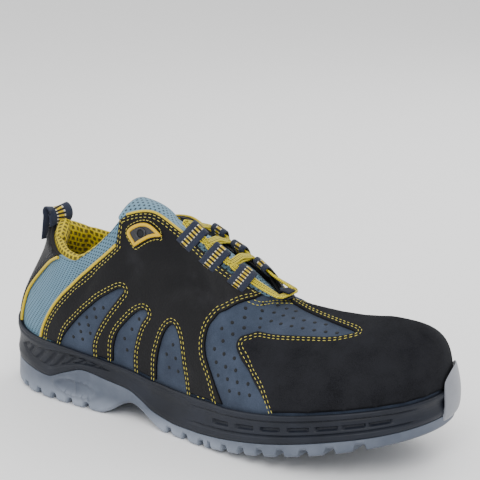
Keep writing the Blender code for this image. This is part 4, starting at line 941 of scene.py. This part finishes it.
seams = {"foot": 0.012, "first": 0.0017, "second": 0.0036, "lift": 0.00172, "pitch": 0.0030, "step": 0.0015,
         "heelRows": (0.0018, 0.0034), "heelPitch": 0.0024, "fine": 0.0005, "throatLevels": (0.90, 0.855),
         "throatPitch": 0.0025}


def evenSteps(line):
    length = runLengths(line)
    at = np.linspace(0, length[-1], max(4, int(length[-1] / seams["step"])))
    return np.stack([np.interp(at, length, line[:, 0]), np.interp(at, length, line[:, 1])], -1)


def stitchRuns(corners, distance, height, high=0.995, closed=True):
    # the feet of the panels run on under the sole, so that no row turns along it
    line = toPlane(trace([(a, -0.12 if l < 0.02 else l, c) for a, l, c in corners], 20, closed))
    if closed:
        line = leftTurning(line)
    whole = np.concatenate([line, line[:1]]) if closed else line
    moved, local = trueInset(line, distance, closed)
    good = (lineDistance(moved, whole) > np.abs(local) * 0.86) & (moved[:, 1] > seams["foot"] * clothRise)
    good &= moved[:, 1] < high * clothRise
    if closed:
        good &= within(moved, line)
        if not good.all():
            shift = int(np.argmin(good))
            moved, good = np.roll(moved, -shift, 0), np.roll(good, -shift)
    runs, current = [], []
    for spot, ok in list(zip(moved, good)) + [(None, False)]:
        if ok:
            current.append(spot)
        else:
            if len(current) > 3:
                runs.append(evenSteps(np.array(current)))
            current = []
    return [onPlane(run, height) for run in runs]


runs = []
for _, corners, _ in quarterSides:
    for inset in (seams["first"], seams["second"]):
        runs += stitchRuns(corners, inset, seams["lift"])
grow("quarterStitches", runs, "stitch", {"Pitch": seams["pitch"]}, "thread")
runs = []
for cap in (toeCapEdge, mirrored(toeCapEdge)):
    for inset in (seams["first"], seams["second"]):
        runs += stitchRuns(cap, -inset, seams["lift"], high=0.985, closed=False)
grow("toeCapStitches", runs, "stitch", {"Pitch": seams["pitch"]}, "thread")
runs = []
for inset in seams["heelRows"]:
    runs += stitchRuns(heelWhole, inset, seams["lift"], high=0.97)
grow("heelStitches", runs, "stitch", {"Pitch": seams["heelPitch"], "Width": seams["fine"]}, "ring")
# two rows bend round the foot of the throat on the vamp
runs = []
for level in seams["throatLevels"]:
    sweep = np.linspace(108.6, 119.0, 40)
    rise = level + 0.10 * smoothStep(110, 119, sweep)
    for turned in (sweep, 360 - sweep):
        runs.append(surface(turned, np.minimum(rise, 0.992), 0.0004))
grow("throatStitches", runs, "stitch", {"Pitch": seams["throatPitch"]}, "thread")

piping = {"radius": 0.00095, "beside": 0.0011, "lobeTurns": (75.0, 92.6), "lobeRadius": 0.00075}
for title, corners, nodeName, inward in (("heelPiping", heelEdge, "heel_piping_", -1),
                                         ("quarterPiping", quarterEdge[:7], "quarter_piping_", 1)):
    for side, flip in (("lateral", False), ("medial", True)):
        line = toPlane(trace(corners, 12, closed=False))
        line, _ = trueInset(line, piping["beside"] * inward, closed=False)
        angle, level = fromPlane(line)
        level = np.clip(level, 0, 0.985)
        run = surface(360 - angle if flip else angle, level, piping["radius"] + 0.0002)
        grow(title + side.title(), [run], "cord", {"Radius": piping["radius"]}, "trim", [nodeName + side])
runs = []
sweep = np.linspace(*piping["lobeTurns"], 40)
for turned in (sweep, 360 - sweep):
    runs.append(surface(turned, 1.0, 0.0010))
grow("lobeBinding", runs, "cord", {"Radius": piping["lobeRadius"]}, "trim")
print("seams and piping ready")

eyelet = {"plate": 0.0008, "line": 0.0011, "lineInset": 0.0004, "hole": (80.0, 0.855), "holeWidth": 0.0052,
          "ringRadius": 0.0031, "ring": 0.0007, "spacing": 0.0014, "stitchesOut": 0.0026}
base = shoe["overlay"] + 2 * shoe["gap"]
for title, corners, side in (("Outer", eyeletEdge, "lateral"), ("Inner", mirrored(eyeletEdge), "medial")):
    edge = trace(corners, 12)
    makePanel("eyeletPlate" + title, edge, "ring", ["eyelet_frame_" + side], lift=base, thick=eyelet["plate"],
              spacing=eyelet["spacing"])
    line, _ = trueInset(leftTurning(toPlane(edge)), eyelet["lineInset"])
    grow("eyeletLine" + title, [onPlane(line, base + eyelet["plate"])], "cord", {"Radius": eyelet["line"]}, "gold",
         closed=True)
    turned = eyelet["hole"][0] if side == "lateral" else 360 - eyelet["hole"][0]
    spot, normal = surface(turned, eyelet["hole"][1], base + eyelet["plate"])
    aside = unit(np.cross(normal, (0, 0, 1.0)))
    above = np.cross(aside, normal)
    around = np.radians(np.arange(0, 360, 15))[:, None]
    circle = spot + (aside * np.cos(around) + above * np.sin(around)) * eyelet["ringRadius"]
    outs = np.repeat(normal[None], len(circle), 0)
    grow("eyeletRing" + title, [(circle, outs)], "cord", {"Radius": eyelet["ring"]}, "ring", closed=True)
    # A flat dark disc fills the eyelet's opening: painted shade in place of a real hole.
    grow("eyeletHoleShade" + title, [(spot[None], normal[None])], "dot",
         {"Width": eyelet["holeWidth"], "Height": 0.0004}, "hole", loose=True)
    runs = [onPlane(trueInset(line, -eyelet["stitchesOut"])[0], seams["lift"])]
    grow("eyeletStitches" + title, runs, "stitch", {"Pitch": seams["heelPitch"], "Width": seams["fine"]}, "thread",
         closed=True)

holes = {"pitchU": 0.0074, "pitchV": 0.0066, "clear": 0.0030, "width": 0.0023, "height": 0.0006, "slant": 0.35,
         "vampPitch": 1.1}
windows = (quarterEdge[37:49], quarterEdge[26:37], quarterEdge[16:26],
           tuple(quarterEdge[9:16]) + tuple(toeCapEdge[:15]) + ((113.4, 0.992, 0),))
dots = []
for number, rows in enumerate(windows):
    for flip in (False, True):
        loop = toPlane(trace(rows, 8))
        low, high = loop.min(0), loop.max(0)
        pitch = (holes["pitchU"], holes["pitchV"] * (1.0 if number < 3 else holes["vampPitch"]))
        grid = [(u + (k % 2) * pitch[0] / 2, v) for k, v in enumerate(np.arange(low[1] + 0.003, high[1], pitch[1]))
                for u in np.arange(low[0] - 0.004, high[0], pitch[0])]
        grid = np.array(grid)
        grid[:, 0] += (grid[:, 1] - low[1]) * holes["slant"]
        grid = grid[within(grid, loop)]
        grid = grid[lineDistance(grid, np.concatenate([loop, loop[:1]])) > holes["clear"]]
        angle, level = fromPlane(grid)
        dots.append(surface(360 - angle if flip else angle, level, 0.00002))
# Each perforation is a flat dark bead on the wall: painted shade in place of a real hole.
grow("perforations", dots, "dot", {"Width": holes["width"], "Height": holes["height"]}, "hole", loose=True)
print("eyelets and perforations ready")

tongue = {"thick": 0.0045, "shoulder": 0.0006, "height": 0.127, "arc": (0, 0.35, 0.68), "round": 0.55, "rise": 0.6,
          "shares": (-1, -0.86, -0.62, -0.32, 0, 0.32, 0.62, 0.86, 1)}
tongueRows = (  # angle, along, crown as share of thickness, edge level
    (118.0, 0.683, -2.15, 0.80), (113.0, 0.650, -1.95, 0.80), (109.0, 0.618, -0.90, 0.82),
    (104.0, 0.583, -0.35, 0.84), (99.0, 0.540, -0.35, 0.84), (94.0, 0.497, -0.45, 0.84),
    (89.0, 0.453, -0.60, 0.86), (84.5, 0.413, -1.50, 0.88), (80.0, 0.377, -1.30, 0.88),
)
tongueTip = ((0.352, 0.0035, 0.60, 0.30), (0.325, 0.0008, 0.62, 0.30), (0.302, 0.0, 0.60, 0.29))


def makeTongue():
    depth = shoe["wall"] + 5 * shoe["gap"] + tongue["thick"] / 2
    rows = []
    for angle, along, crown, level in tongueRows:
        turns = (angle, 360 - angle)
        edges = [surface(turn, level, -depth)[0] for turn in turns]
        rims = [surface(turn, 1.0)[0] for turn in turns]
        shoulders = [surface(turn, mix(level, 1.0, tongue["rise"]), -depth - tongue["shoulder"])[0] for turn in turns]
        crest = (rims[0] + rims[1]) / 2
        crest[0] = along * shoe["length"] - centreX
        crest[2] += crown * tongue["thick"]
        row = [edges[0]]
        for k in (0, 1):
            hold = np.array([crest[0], mix(crest[1], shoulders[k][1], tongue["round"]), crest[2]])
            arc = [(1 - t) ** 2 * shoulders[k] + 2 * t * (1 - t) * hold + t * t * crest for t in tongue["arc"]]
            row += arc + [crest] if k == 0 else arc[::-1]
        rows.append(row + [edges[1]])
    middle = rows[-1][4][1]
    for along, below, half, drop in tongueTip:
        rows.append([np.array([along * shoe["length"] - centreX, middle + share * half * halfCollar,
                               tongue["height"] - below - drop * halfCollar * share ** 2])
                     for share in tongue["shares"]])
    points = np.array(rows)
    count = points.shape[1]
    v = runLengths(points[:, 4])
    u = runLengths(points[6])
    uv = np.stack(np.meshgrid(v, u, indexing="ij"), -1)[..., ::-1].reshape(-1, 2)
    piece = makeMesh("tonguePad", points.reshape(-1, 3), gridFaces(len(rows), count), uv)
    rounded(piece, 3)
    pad = piece.modifiers.new("pad", "SOLIDIFY")
    pad.thickness, pad.offset = tongue["thick"], 0
    plain(piece)
    weld(piece)
    settle(piece, "tongueMesh", "tongue")


makeTongue()

loops = {"angles": (93.0, 98.6, 104.9), "width": 0.0112, "reach": 0.0098, "opening": 0.0026, "thick": 0.0011,
         "baseWidth": 0.0074, "baseReach": 0.008, "baseAngle": 117.5, "baseShift": 0.0030, "baseSeat": 0.48,
         "baseRun": 0.0050}
lace = {"width": 0.0044, "thick": 0.0016, "seat": 0.0050, "bend": 0.0028, "pinch": 0.12, "arch": 0.0008,
        "topRun": 0.0032, "clear": 0.50, "taken": 0.92}
pull = {"width": 0.0165, "thick": 0.0016, "length": 0.0075, "turns": (90, 88, 74, 60, 56, 66, 84, 90),
        "foot": ((0.80, 0.0004), (0.92, 0.0012)), "end": ((0.97, 0.0030), (0.87, 0.0042)),
        "top": ((-0.24, 0.0, 0.42), (-0.12, 0.0, 0.98), (0.28, 0.0, 1.10), (0.56, 0.0, 0.55))}


def flow(values, steps):  # a smooth run through the rows
    values = np.asarray(values, float)
    padded = np.concatenate([values[:1] * 2 - values[1:2], values, values[-1:] * 2 - values[-2:-1]])
    out = []
    for i in range(1, len(padded) - 2):
        a, b, c, d = padded[i - 1:i + 3]
        for t in np.arange(steps) / steps:
            out.append(0.5 * (2 * b + (c - a) * t + (2 * a - 5 * b + 4 * c - d) * t * t
                              + (3 * b - a - 3 * c + d) * t ** 3))
    out.append(values[-1])
    return np.array(out)


def ribbon(name, centres, outs, widths, thick, lookName, nodes, steps=5, edgePower=0.55):
    # a flat band with round edges
    centres, outs = flow(centres, steps), flow(outs, steps)
    widths = flow(np.asarray(widths)[:, None], steps)
    heading = unit(np.gradient(centres, axis=0))
    across = unit(np.cross(outs, heading))
    up = np.cross(heading, across)
    section = 14
    phi = np.arange(section) * 2 * math.pi / section
    x = np.sign(np.cos(phi)) * np.abs(np.cos(phi)) ** edgePower
    y = np.sign(np.sin(phi)) * np.abs(np.sin(phi)) ** 0.8
    points = (centres[:, None] + across[:, None] * (x[None, :, None] * widths[:, None] / 2)
              + up[:, None] * (y * thick / 2)[None, :, None])
    length = runLengths(centres)
    uv = np.stack(np.broadcast_arrays(x / 2 + 0.5, length[:, None]), -1)
    piece = makeMesh(name, points.reshape(-1, 3), tubeFaces(len(centres), section), uv.reshape(-1, 2))
    weld(piece)
    settle(piece, lookName, *nodes)


def edgeFrame(angle):
    place = surface(angle, 1.0)[0]
    along = unit(surface(angle + 1, 1.0)[0] - surface(angle - 1, 1.0)[0])
    over = place - surface(angle, 0.9)[0]
    over = unit(over - along * over.dot(along))
    out = np.cross(along, over)
    return place, along, over, out * (1 if out[2] > 0 else -1)


def loopFrame(number, side):
    angle = loops["angles"][number]
    return edgeFrame(angle if side == "lateral" else 360 - angle)


def baseFrame():
    place = surface(loops["baseAngle"], 1.0)[0]
    over = surface(ridgeStart, 1.0)[0] - place
    place[1] -= loops["baseShift"]
    over[1] = 0
    over = unit(over)
    out = np.array([over[2], 0, -over[0]])
    lift = shoe["overlay"] + 3 * shoe["gap"] + loops["opening"] / 2 + loops["thick"]
    return place + out * lift, np.array([0, 1.0, 0]), over, out


def makeLoop(name, frameOf, reach, width, nodeName, lookName="webbing"):
    place, along, over, out = frameOf
    half = (loops["opening"] + loops["thick"]) / 2
    start, turn = -0.006, reach - half
    profile = [(start, -half * 0.3), (0.0012, -half), (turn * 0.6, -half * 1.1), (turn, -half)]
    profile += [(turn + half * math.cos(t), half * math.sin(t)) for t in (-math.pi / 4, 0, math.pi / 4)]
    profile += [(turn, half), (turn * 0.6, half * 1.1), (0.0012, half), (start, half * 0.8)]
    if name == "laceLoopBase":
        profile = profile[1:-1]
    centres = np.array([place + over * a + out * b for a, b in profile])
    ahead = unit(np.gradient(centres, axis=0))
    outs = np.cross(along, ahead)
    ribbon(name, centres, outs, [width] * len(centres), loops["thick"], lookName, [nodeName], edgePower=0.3)


for number in range(3):
    for side in ("lateral", "medial"):
        makeLoop("laceLoop%s%d" % (side.title(), number + 1), loopFrame(number, side), loops["reach"], loops["width"],
                 "lace_loop_%s_%d" % (side, number + 1))
makeLoop("laceLoopBase", baseFrame(), loops["baseReach"], loops["baseWidth"], "lace_loop_base", "tape")


def laceRow(knots):  # places, the way the broad face looks, and widths, rounded at the turns
    centres, outs, widths = [knots[0][0]], [knots[0][1]], [lace["width"]]
    for before, knot, after in zip(knots, knots[1:], knots[2:]):
        back, ahead = before[0] - knot[0], after[0] - knot[0]
        bend = min(lace["bend"], np.linalg.norm(back) * 0.45, np.linalg.norm(ahead) * 0.45)
        start, end = knot[0] + unit(back) * bend, knot[0] + unit(ahead) * bend
        startOut = mix(knot[1], before[1], bend / np.linalg.norm(back))
        endOut = mix(knot[1], after[1], bend / np.linalg.norm(ahead))
        turn = 1 - max(0.0, unit(ahead).dot(-unit(back)))
        for t in (0, 0.5, 1):
            centres.append((1 - t) ** 2 * start + 2 * t * (1 - t) * knot[0] + t * t * end)
            outs.append(mix(startOut, endOut, t))
            widths.append(lace["width"] * (1 - (lace["pinch"] * turn if 0 < t < 1 else 0)))
    return centres + [knots[-1][0]], outs + [knots[-1][1]], widths + [lace["width"]]


def seatKnots(frameOf, sign, run):
    middle = frameOf[0] + frameOf[2] * lace["seat"]
    way = frameOf[1] * sign * (1 if frameOf[1][0] < 0 else -1)
    return [(middle - way * 0.001, frameOf[3]), (middle + way * (loops["width"] / 2 + run), frameOf[3])]


def gapBetween(low, high, side):
    reach = [f[0] + f[2] * lace["seat"] for f in (loopFrame(low, side), loopFrame(high, side))]
    return np.linalg.norm(reach[0] - reach[1]) - loops["width"]


def laceRun(name, knots, nodeName):
    centres, outs, widths = laceRow(knots)
    ribbon(name, centres, outs, widths, lace["thick"], "lace", [nodeName])


def crossing(name, low, high, sidesTaken, lift, nodeName):
    first, second = loopFrame(low, sidesTaken[0]), loopFrame(high, sidesTaken[1])
    start = seatKnots(first, 1, gapBetween(low, high, sidesTaken[0]) * lace["clear"])
    end = seatKnots(second, -1, gapBetween(low, high, sidesTaken[1]) * (lace["taken"] - lace["clear"]))
    middle = (start[1][0] + end[1][0]) / 2 + np.array([0, 0, lace["arch"] + lift])
    laceRun(name, start + [(middle, unit(first[3] + second[3]))] + end[::-1], nodeName)


for nodeName, low in (("lace_cross_lower", 2), ("lace_cross_upper", 1)):
    title = "lace" + nodeName.split("_")[-1].title()
    crossing(title + "Under", low, low - 1, ("lateral", "medial"), 0, nodeName)
    crossing(title + "Over", low, low - 1, ("medial", "lateral"), lace["thick"] * 1.1, nodeName)
ends = [seatKnots(loopFrame(0, side), 1, lace["topRun"]) for side in ("lateral", "medial")]
laceRun("laceTop", ends[0] + ends[1][::-1], "lace_top_bar")
place, _, over, out = baseFrame()
middle = place + over * loops["baseReach"] * loops["baseSeat"]
step = np.array([0, loops["baseWidth"] / 2 + loops["baseRun"], 0])
ends = [seatKnots(loopFrame(2, side), -1, lace["topRun"]) for side in ("lateral", "medial")]
laceRun("laceLowest", ends[0] + [(middle - step, out), (middle + step, out)] + ends[1][::-1], "lace_v")

outside = shoe["gap"] + shoe["overlay"] + pull["thick"] / 2
crest = surface(0.0, 1.0)[0]
centres = [surface(0.0, level, outside + gap)[0] for level, gap in pull["foot"]]
centres += [crest + np.array(shares) * pull["length"] for shares in pull["top"]]
centres += [surface(0.0, level, -depth)[0] for level, depth in pull["end"]]
centres = np.array(centres)
turns = np.radians(pull["turns"])
ahead = np.array([centres[min(k + 1, len(turns) - 1)] - centres[max(k - 1, 0)] for k in range(len(turns))])
outs = unit(np.cross(ahead, np.stack([np.cos(turns), np.sin(turns), 0 * turns], -1)))
ribbon("pullLoop", centres, outs, [pull["width"]] * len(turns), pull["thick"], "webbing", ["pull_loop"], steps=8,
       edgePower=0.25)
print("tongue, loops and lace ready")

soleLook = {
    "half": 400, "chamfer": 0.0025, "flange": 0.0025, "grooveDepth": 0.0042, "grooveShare": 0.92,
    "grooveWidth": 0.0042, "groovePitch": 0.0135, "treadLean": -0.158, "leanTurns": (100, 260),
    "lines": ((0.27, 0.0013), (0.76, 0.0011)), "lineHalf": 0.0006, "lip": (0.90, 0.0006),
    "slotAngles": (104.0, 111.5, 119.0, 127.0, 135.0, 143.0, 151.5), "slotLength": 0.0125, "slotDepth": 0.0017,
    "heelRecess": ((27, 0.50), (34, 0.74), (50, 0.80), (66, 0.62), (70, 0.50), (60, 0.30), (46, 0.20), (34, 0.30)),
    "bars": 0.0088, "barLean": 1.1, "recessDepth": 0.0012, "sideRise": 0.02, "slotRise": 0.0096, "slotHalf": 0.0015,
    "ovalTurn": 57.5, "ovalLong": 0.0165, "ovalRise": 0.0125, "ovalHigh": 0.0052,
    "ovalLine": 0.0011, "ovalSharp": 0.16, "rib": 0.0009,
}
halfTurn = np.interp(np.linspace(np.interp(0, arcAngles, arcLengths), np.interp(180, arcAngles, arcLengths),
                                 soleLook["half"]), arcLengths, arcAngles)
halfTurn[0], halfTurn[-1] = 0, 180
ringTurn = np.concatenate([halfTurn, 360 - halfTurn[-2:0:-1]])
ringPlace = arcAt(turnOf(ringTurn))


def soleRing(inset, height):
    return np.concatenate([outline(ringTurn, inset), np.broadcast_to(height, ringTurn.shape)[:, None]], -1)


def nearPoly(u, v, corners):
    loop = np.array([(arcAt(a), s * soleLook["sideRise"]) for a, s in corners])
    spots = np.stack([u.ravel(), v.ravel()], -1)
    away = lineDistance(spots, np.concatenate([loop, loop[:1]]))
    return np.where(within(spots, loop), away, -away).reshape(u.shape)


def midsoleCarving(share):  # how deep the side is carved, in metres
    rise = soleLook["sideRise"]
    u, v = np.broadcast_arrays(ringPlace[None, :], (share * rise)[:, None])
    turn = np.broadcast_to(turnOf(ringTurn)[None, :], u.shape)
    depth = np.zeros(u.shape)
    for angle in soleLook["slotAngles"]:
        away = np.maximum(np.abs(u - arcAt(angle)) - soleLook["slotLength"] / 2,
                          np.abs(v - soleLook["slotRise"]) - soleLook["slotHalf"])
        depth += soleLook["slotDepth"] * (1 - smoothStep(-0.0007, 0.0003, away))
    run = smoothStep(92, 98, turn) * (1 - smoothStep(160, 168, turn))
    half = soleLook["lineHalf"]
    for level, deep in soleLook["lines"]:
        depth += deep * run * np.exp(-((v - level * rise) / half) ** 2)
    level, deep = soleLook["lip"]
    depth += deep * (1 - run) * np.exp(-((v - level * rise) / half) ** 2) * (turn < 150)
    inside = nearPoly(u, v, soleLook["heelRecess"])
    recess = smoothStep(0.0, 0.0012, inside)
    lean = (u - v * soleLook["barLean"]) / soleLook["bars"]
    bars = smoothStep(0.25, 0.5, np.abs(np.mod(lean, 1) - 0.5) * 2) * smoothStep(0.0014, 0.0026, inside)
    return depth + soleLook["recessDepth"] * recess - 0.0009 * bars


def stackRings(name, rings):  # a closed skin of rings, its two ends filled from side to side
    points = np.concatenate(rings)
    count, rows, half = len(ringTurn), len(rings), soleLook["half"]
    faces = [face[::-1] for face in gridFaces(rows, count, wrapColumns=True)]
    for start, order in ((0, 1), ((rows - 1) * count, -1)):
        faces.append(tuple((start + 0, start + 1, start + count - 1)[::order]))
        for k in range(1, half - 2):
            faces.append(tuple((start + k, start + k + 1, start + count - k - 1, start + count - k)[::order]))
        faces.append(tuple((start + half - 2, start + half - 1, start + half)[::order]))
    piece = makeMesh(name, points, faces)
    weld(piece)
    piece.data.set_sharp_from_angle(angle=math.radians(50))
    return piece


def makeMidsole():
    edge, rim = outsoleEdge(ringTurn) + shoe["gap"], rimHeight(ringTurn)
    shares = np.linspace(0, 1, 44)
    insets = np.interp(shares, (0, 0.08, 0.2, 0.40, 0.52, 0.66, 0.84, 0.92, 0.97, 1.0),
                       (0.0008, 0.0002, 0, 0.0009, 0.0012, 0.0010, 0.0001, 0.0, 0.0003, 0.0012))
    carved = midsoleCarving(shares)
    rings = [soleRing(insets[k] + carved[k], mix(edge, rim, shares[k])) for k in range(len(shares))]
    wall = shoe["rimThickness"]
    place = outline(ringTurn, wall + shoe["featherTuck"])
    seat = seatHeight(place[:, 0])
    rings.append(soleRing(wall - shoe["gap"], rim - 0.0006))
    rings.append(soleRing(wall + shoe["featherTuck"] / 4, mix(rim, seat, 0.5)))
    rings.append(soleRing(wall + shoe["featherTuck"], seat))
    piece = stackRings("midsoleBody", rings)
    settle(piece, "midsole", "midsole")


def grooveMask(x):
    heelStart = sole["heelFlatStart"] * shoe["length"] - centreX - soleLook["grooveWidth"]
    foreStart = sole["foreFlatStart"] * shoe["length"] - centreX + soleLook["grooveWidth"]
    mask = np.zeros(np.shape(x))
    for start, count in ((heelStart, 5), (foreStart, 11)):
        for k in range(count):
            mask = np.maximum(mask, 1 - smoothStep(0.42, 0.74, np.abs(x - start - k * soleLook["groovePitch"])
                                                   / soleLook["grooveWidth"]))
    return mask


def makeOutsole():
    edge = outsoleEdge(ringTurn)
    x = outline(ringTurn)[:, 0]
    start, end = soleLook["leanTurns"]
    lean = np.where((ringTurn > start) & (ringTurn < end), outline(ringTurn)[:, 1] * soleLook["treadLean"], 0)
    low = bottomHeight(x) + soleLook["grooveDepth"] * soleLook["grooveShare"] * grooveMask(x + lean)
    low = np.minimum(low, edge - 0.0035)
    chamfer = soleLook["chamfer"]
    rings = [soleRing(chamfer * inset, low + chamfer * rise) for inset, rise in ((1, 0), (0.45, 0.25), (0.1, 0.65))]
    shares = np.linspace(0, 1, 22)
    away = ringPlace - arcAt(soleLook["ovalTurn"])
    for share in shares:
        height = mix(low + chamfer, edge, share)
        oval = np.hypot(away / soleLook["ovalLong"], (height - soleLook["ovalRise"]) / soleLook["ovalHigh"])
        lens = soleLook["ovalLine"] * np.exp(-((oval - 1) / soleLook["ovalSharp"]) ** 2)
        rib = soleLook["rib"] * np.exp(-(away / soleLook["rib"]) ** 2) * (oval < 1)
        rings.append(soleRing(0.0006 * share - lens - rib, height))
    rings.append(soleRing(soleLook["flange"], edge))
    piece = stackRings("outsoleBody", rings)
    settle(piece, "outsole", "outsole")


bumper = {"angle": 192.0, "span": 13.0, "low": 0.02, "rise": 0.15, "columns": 41, "reach": 0.0030}


def makeBumper():
    sweep = np.linspace(-1, 1, bumper["columns"]) * bumper["span"] + bumper["angle"]
    share = np.sqrt(np.maximum(0, 1 - ((sweep - bumper["angle"]) / (bumper["span"] * 1.04)) ** 2))
    side = sideways(sweep)
    edge, rim = outsoleEdge(sweep), rimHeight(sweep)

    def at(inset, height):
        return np.concatenate([outline(sweep, inset), height[:, None]], -1)

    crest = surface(sweep, bumper["low"] + bumper["rise"] * share, shoe["overlay"] + 0.0014)[0]
    inner = [at(0.0012, edge - 0.0035), at(-0.0002, edge), at(-0.0003, mix(edge, rim, 0.5)), at(-0.0003, rim), crest]
    thick = bumper["reach"] * (0.15 + 0.85 * share)[:, None]
    outer = [inner[0] + side * thick * 0.35, inner[1] + side * thick * 0.9, inner[2] + side * thick,
             inner[3] + side * thick * 0.92, inner[4] + side * thick * 0.45]
    points = np.stack(inner + outer[::-1] + [inner[0] - (0, 0, 0.0010)], 1)
    piece = makeMesh("toeBumper", points.reshape(-1, 3), tubeFaces(*points.shape[:2]))
    rounded(piece, 2)
    plain(piece)
    weld(piece)
    settle(piece, "bumper", "outsole")


makeMidsole()
makeOutsole()
makeBumper()
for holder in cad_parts["insole"].material_slots:
    holder.material = looks["insole"].material
print("sole ready")

camera = bpy.data.objects.new("camera", bpy.data.cameras.new("camera"))
scene.collection.objects.link(camera)
scene.camera = camera
view = {"azimuth": 35.0, "elevation": 15.579, "distance": 1.0, "lens": 128.03, "target": (0.01403, 0.0, 0.1138)}
turn, tilt = math.radians(view["azimuth"]), math.radians(view["elevation"])
backward = Vector((math.sin(turn) * math.cos(tilt), -math.cos(turn) * math.cos(tilt), math.sin(tilt)))
camera.location = Vector(view["target"]) + backward * view["distance"]
camera.rotation_euler = backward.to_track_quat("Z", "Y").to_euler()
camera.data.lens = view["lens"]
camera.data.clip_start = 0.05

floorSize = 3.0
floor = makeMesh("floor", [(-floorSize, -floorSize, 0), (floorSize, -floorSize, 0), (floorSize, floorSize, 0),
                           (-floorSize, floorSize, 0)], [(0, 1, 2, 3)])
floorLook = Look("paleFloor", (0.90, 0.90, 0.90), 0.9, Specular_IOR_Level=0.1)
floor.data.materials.append(floorLook.material)

world = bpy.data.worlds.new("studio")
scene.world = world
world.use_nodes = True
world.node_tree.nodes["Background"].inputs["Color"].default_value = (1, 1, 1, 1)
world.node_tree.nodes["Background"].inputs["Strength"].default_value = 1.15
lamps = (  # name, place, size, power
    ("key", (0.55, -0.85, 1.05), 0.7, 11.0), ("fill", (-0.9, -0.6, 0.7), 0.9, 5.0),
    ("back", (0.1, 0.9, 0.9), 0.8, 7.0),
)
for name, spot, size, power in lamps:
    light = bpy.data.lights.new(name, "AREA")
    light.energy, light.size = power, size
    lamp = bpy.data.objects.new(name, light)
    lamp.location = spot
    lamp.rotation_euler = (Vector(spot) - Vector((0, 0, 0.05))).to_track_quat("Z", "Y").to_euler()
    scene.collection.objects.link(lamp)
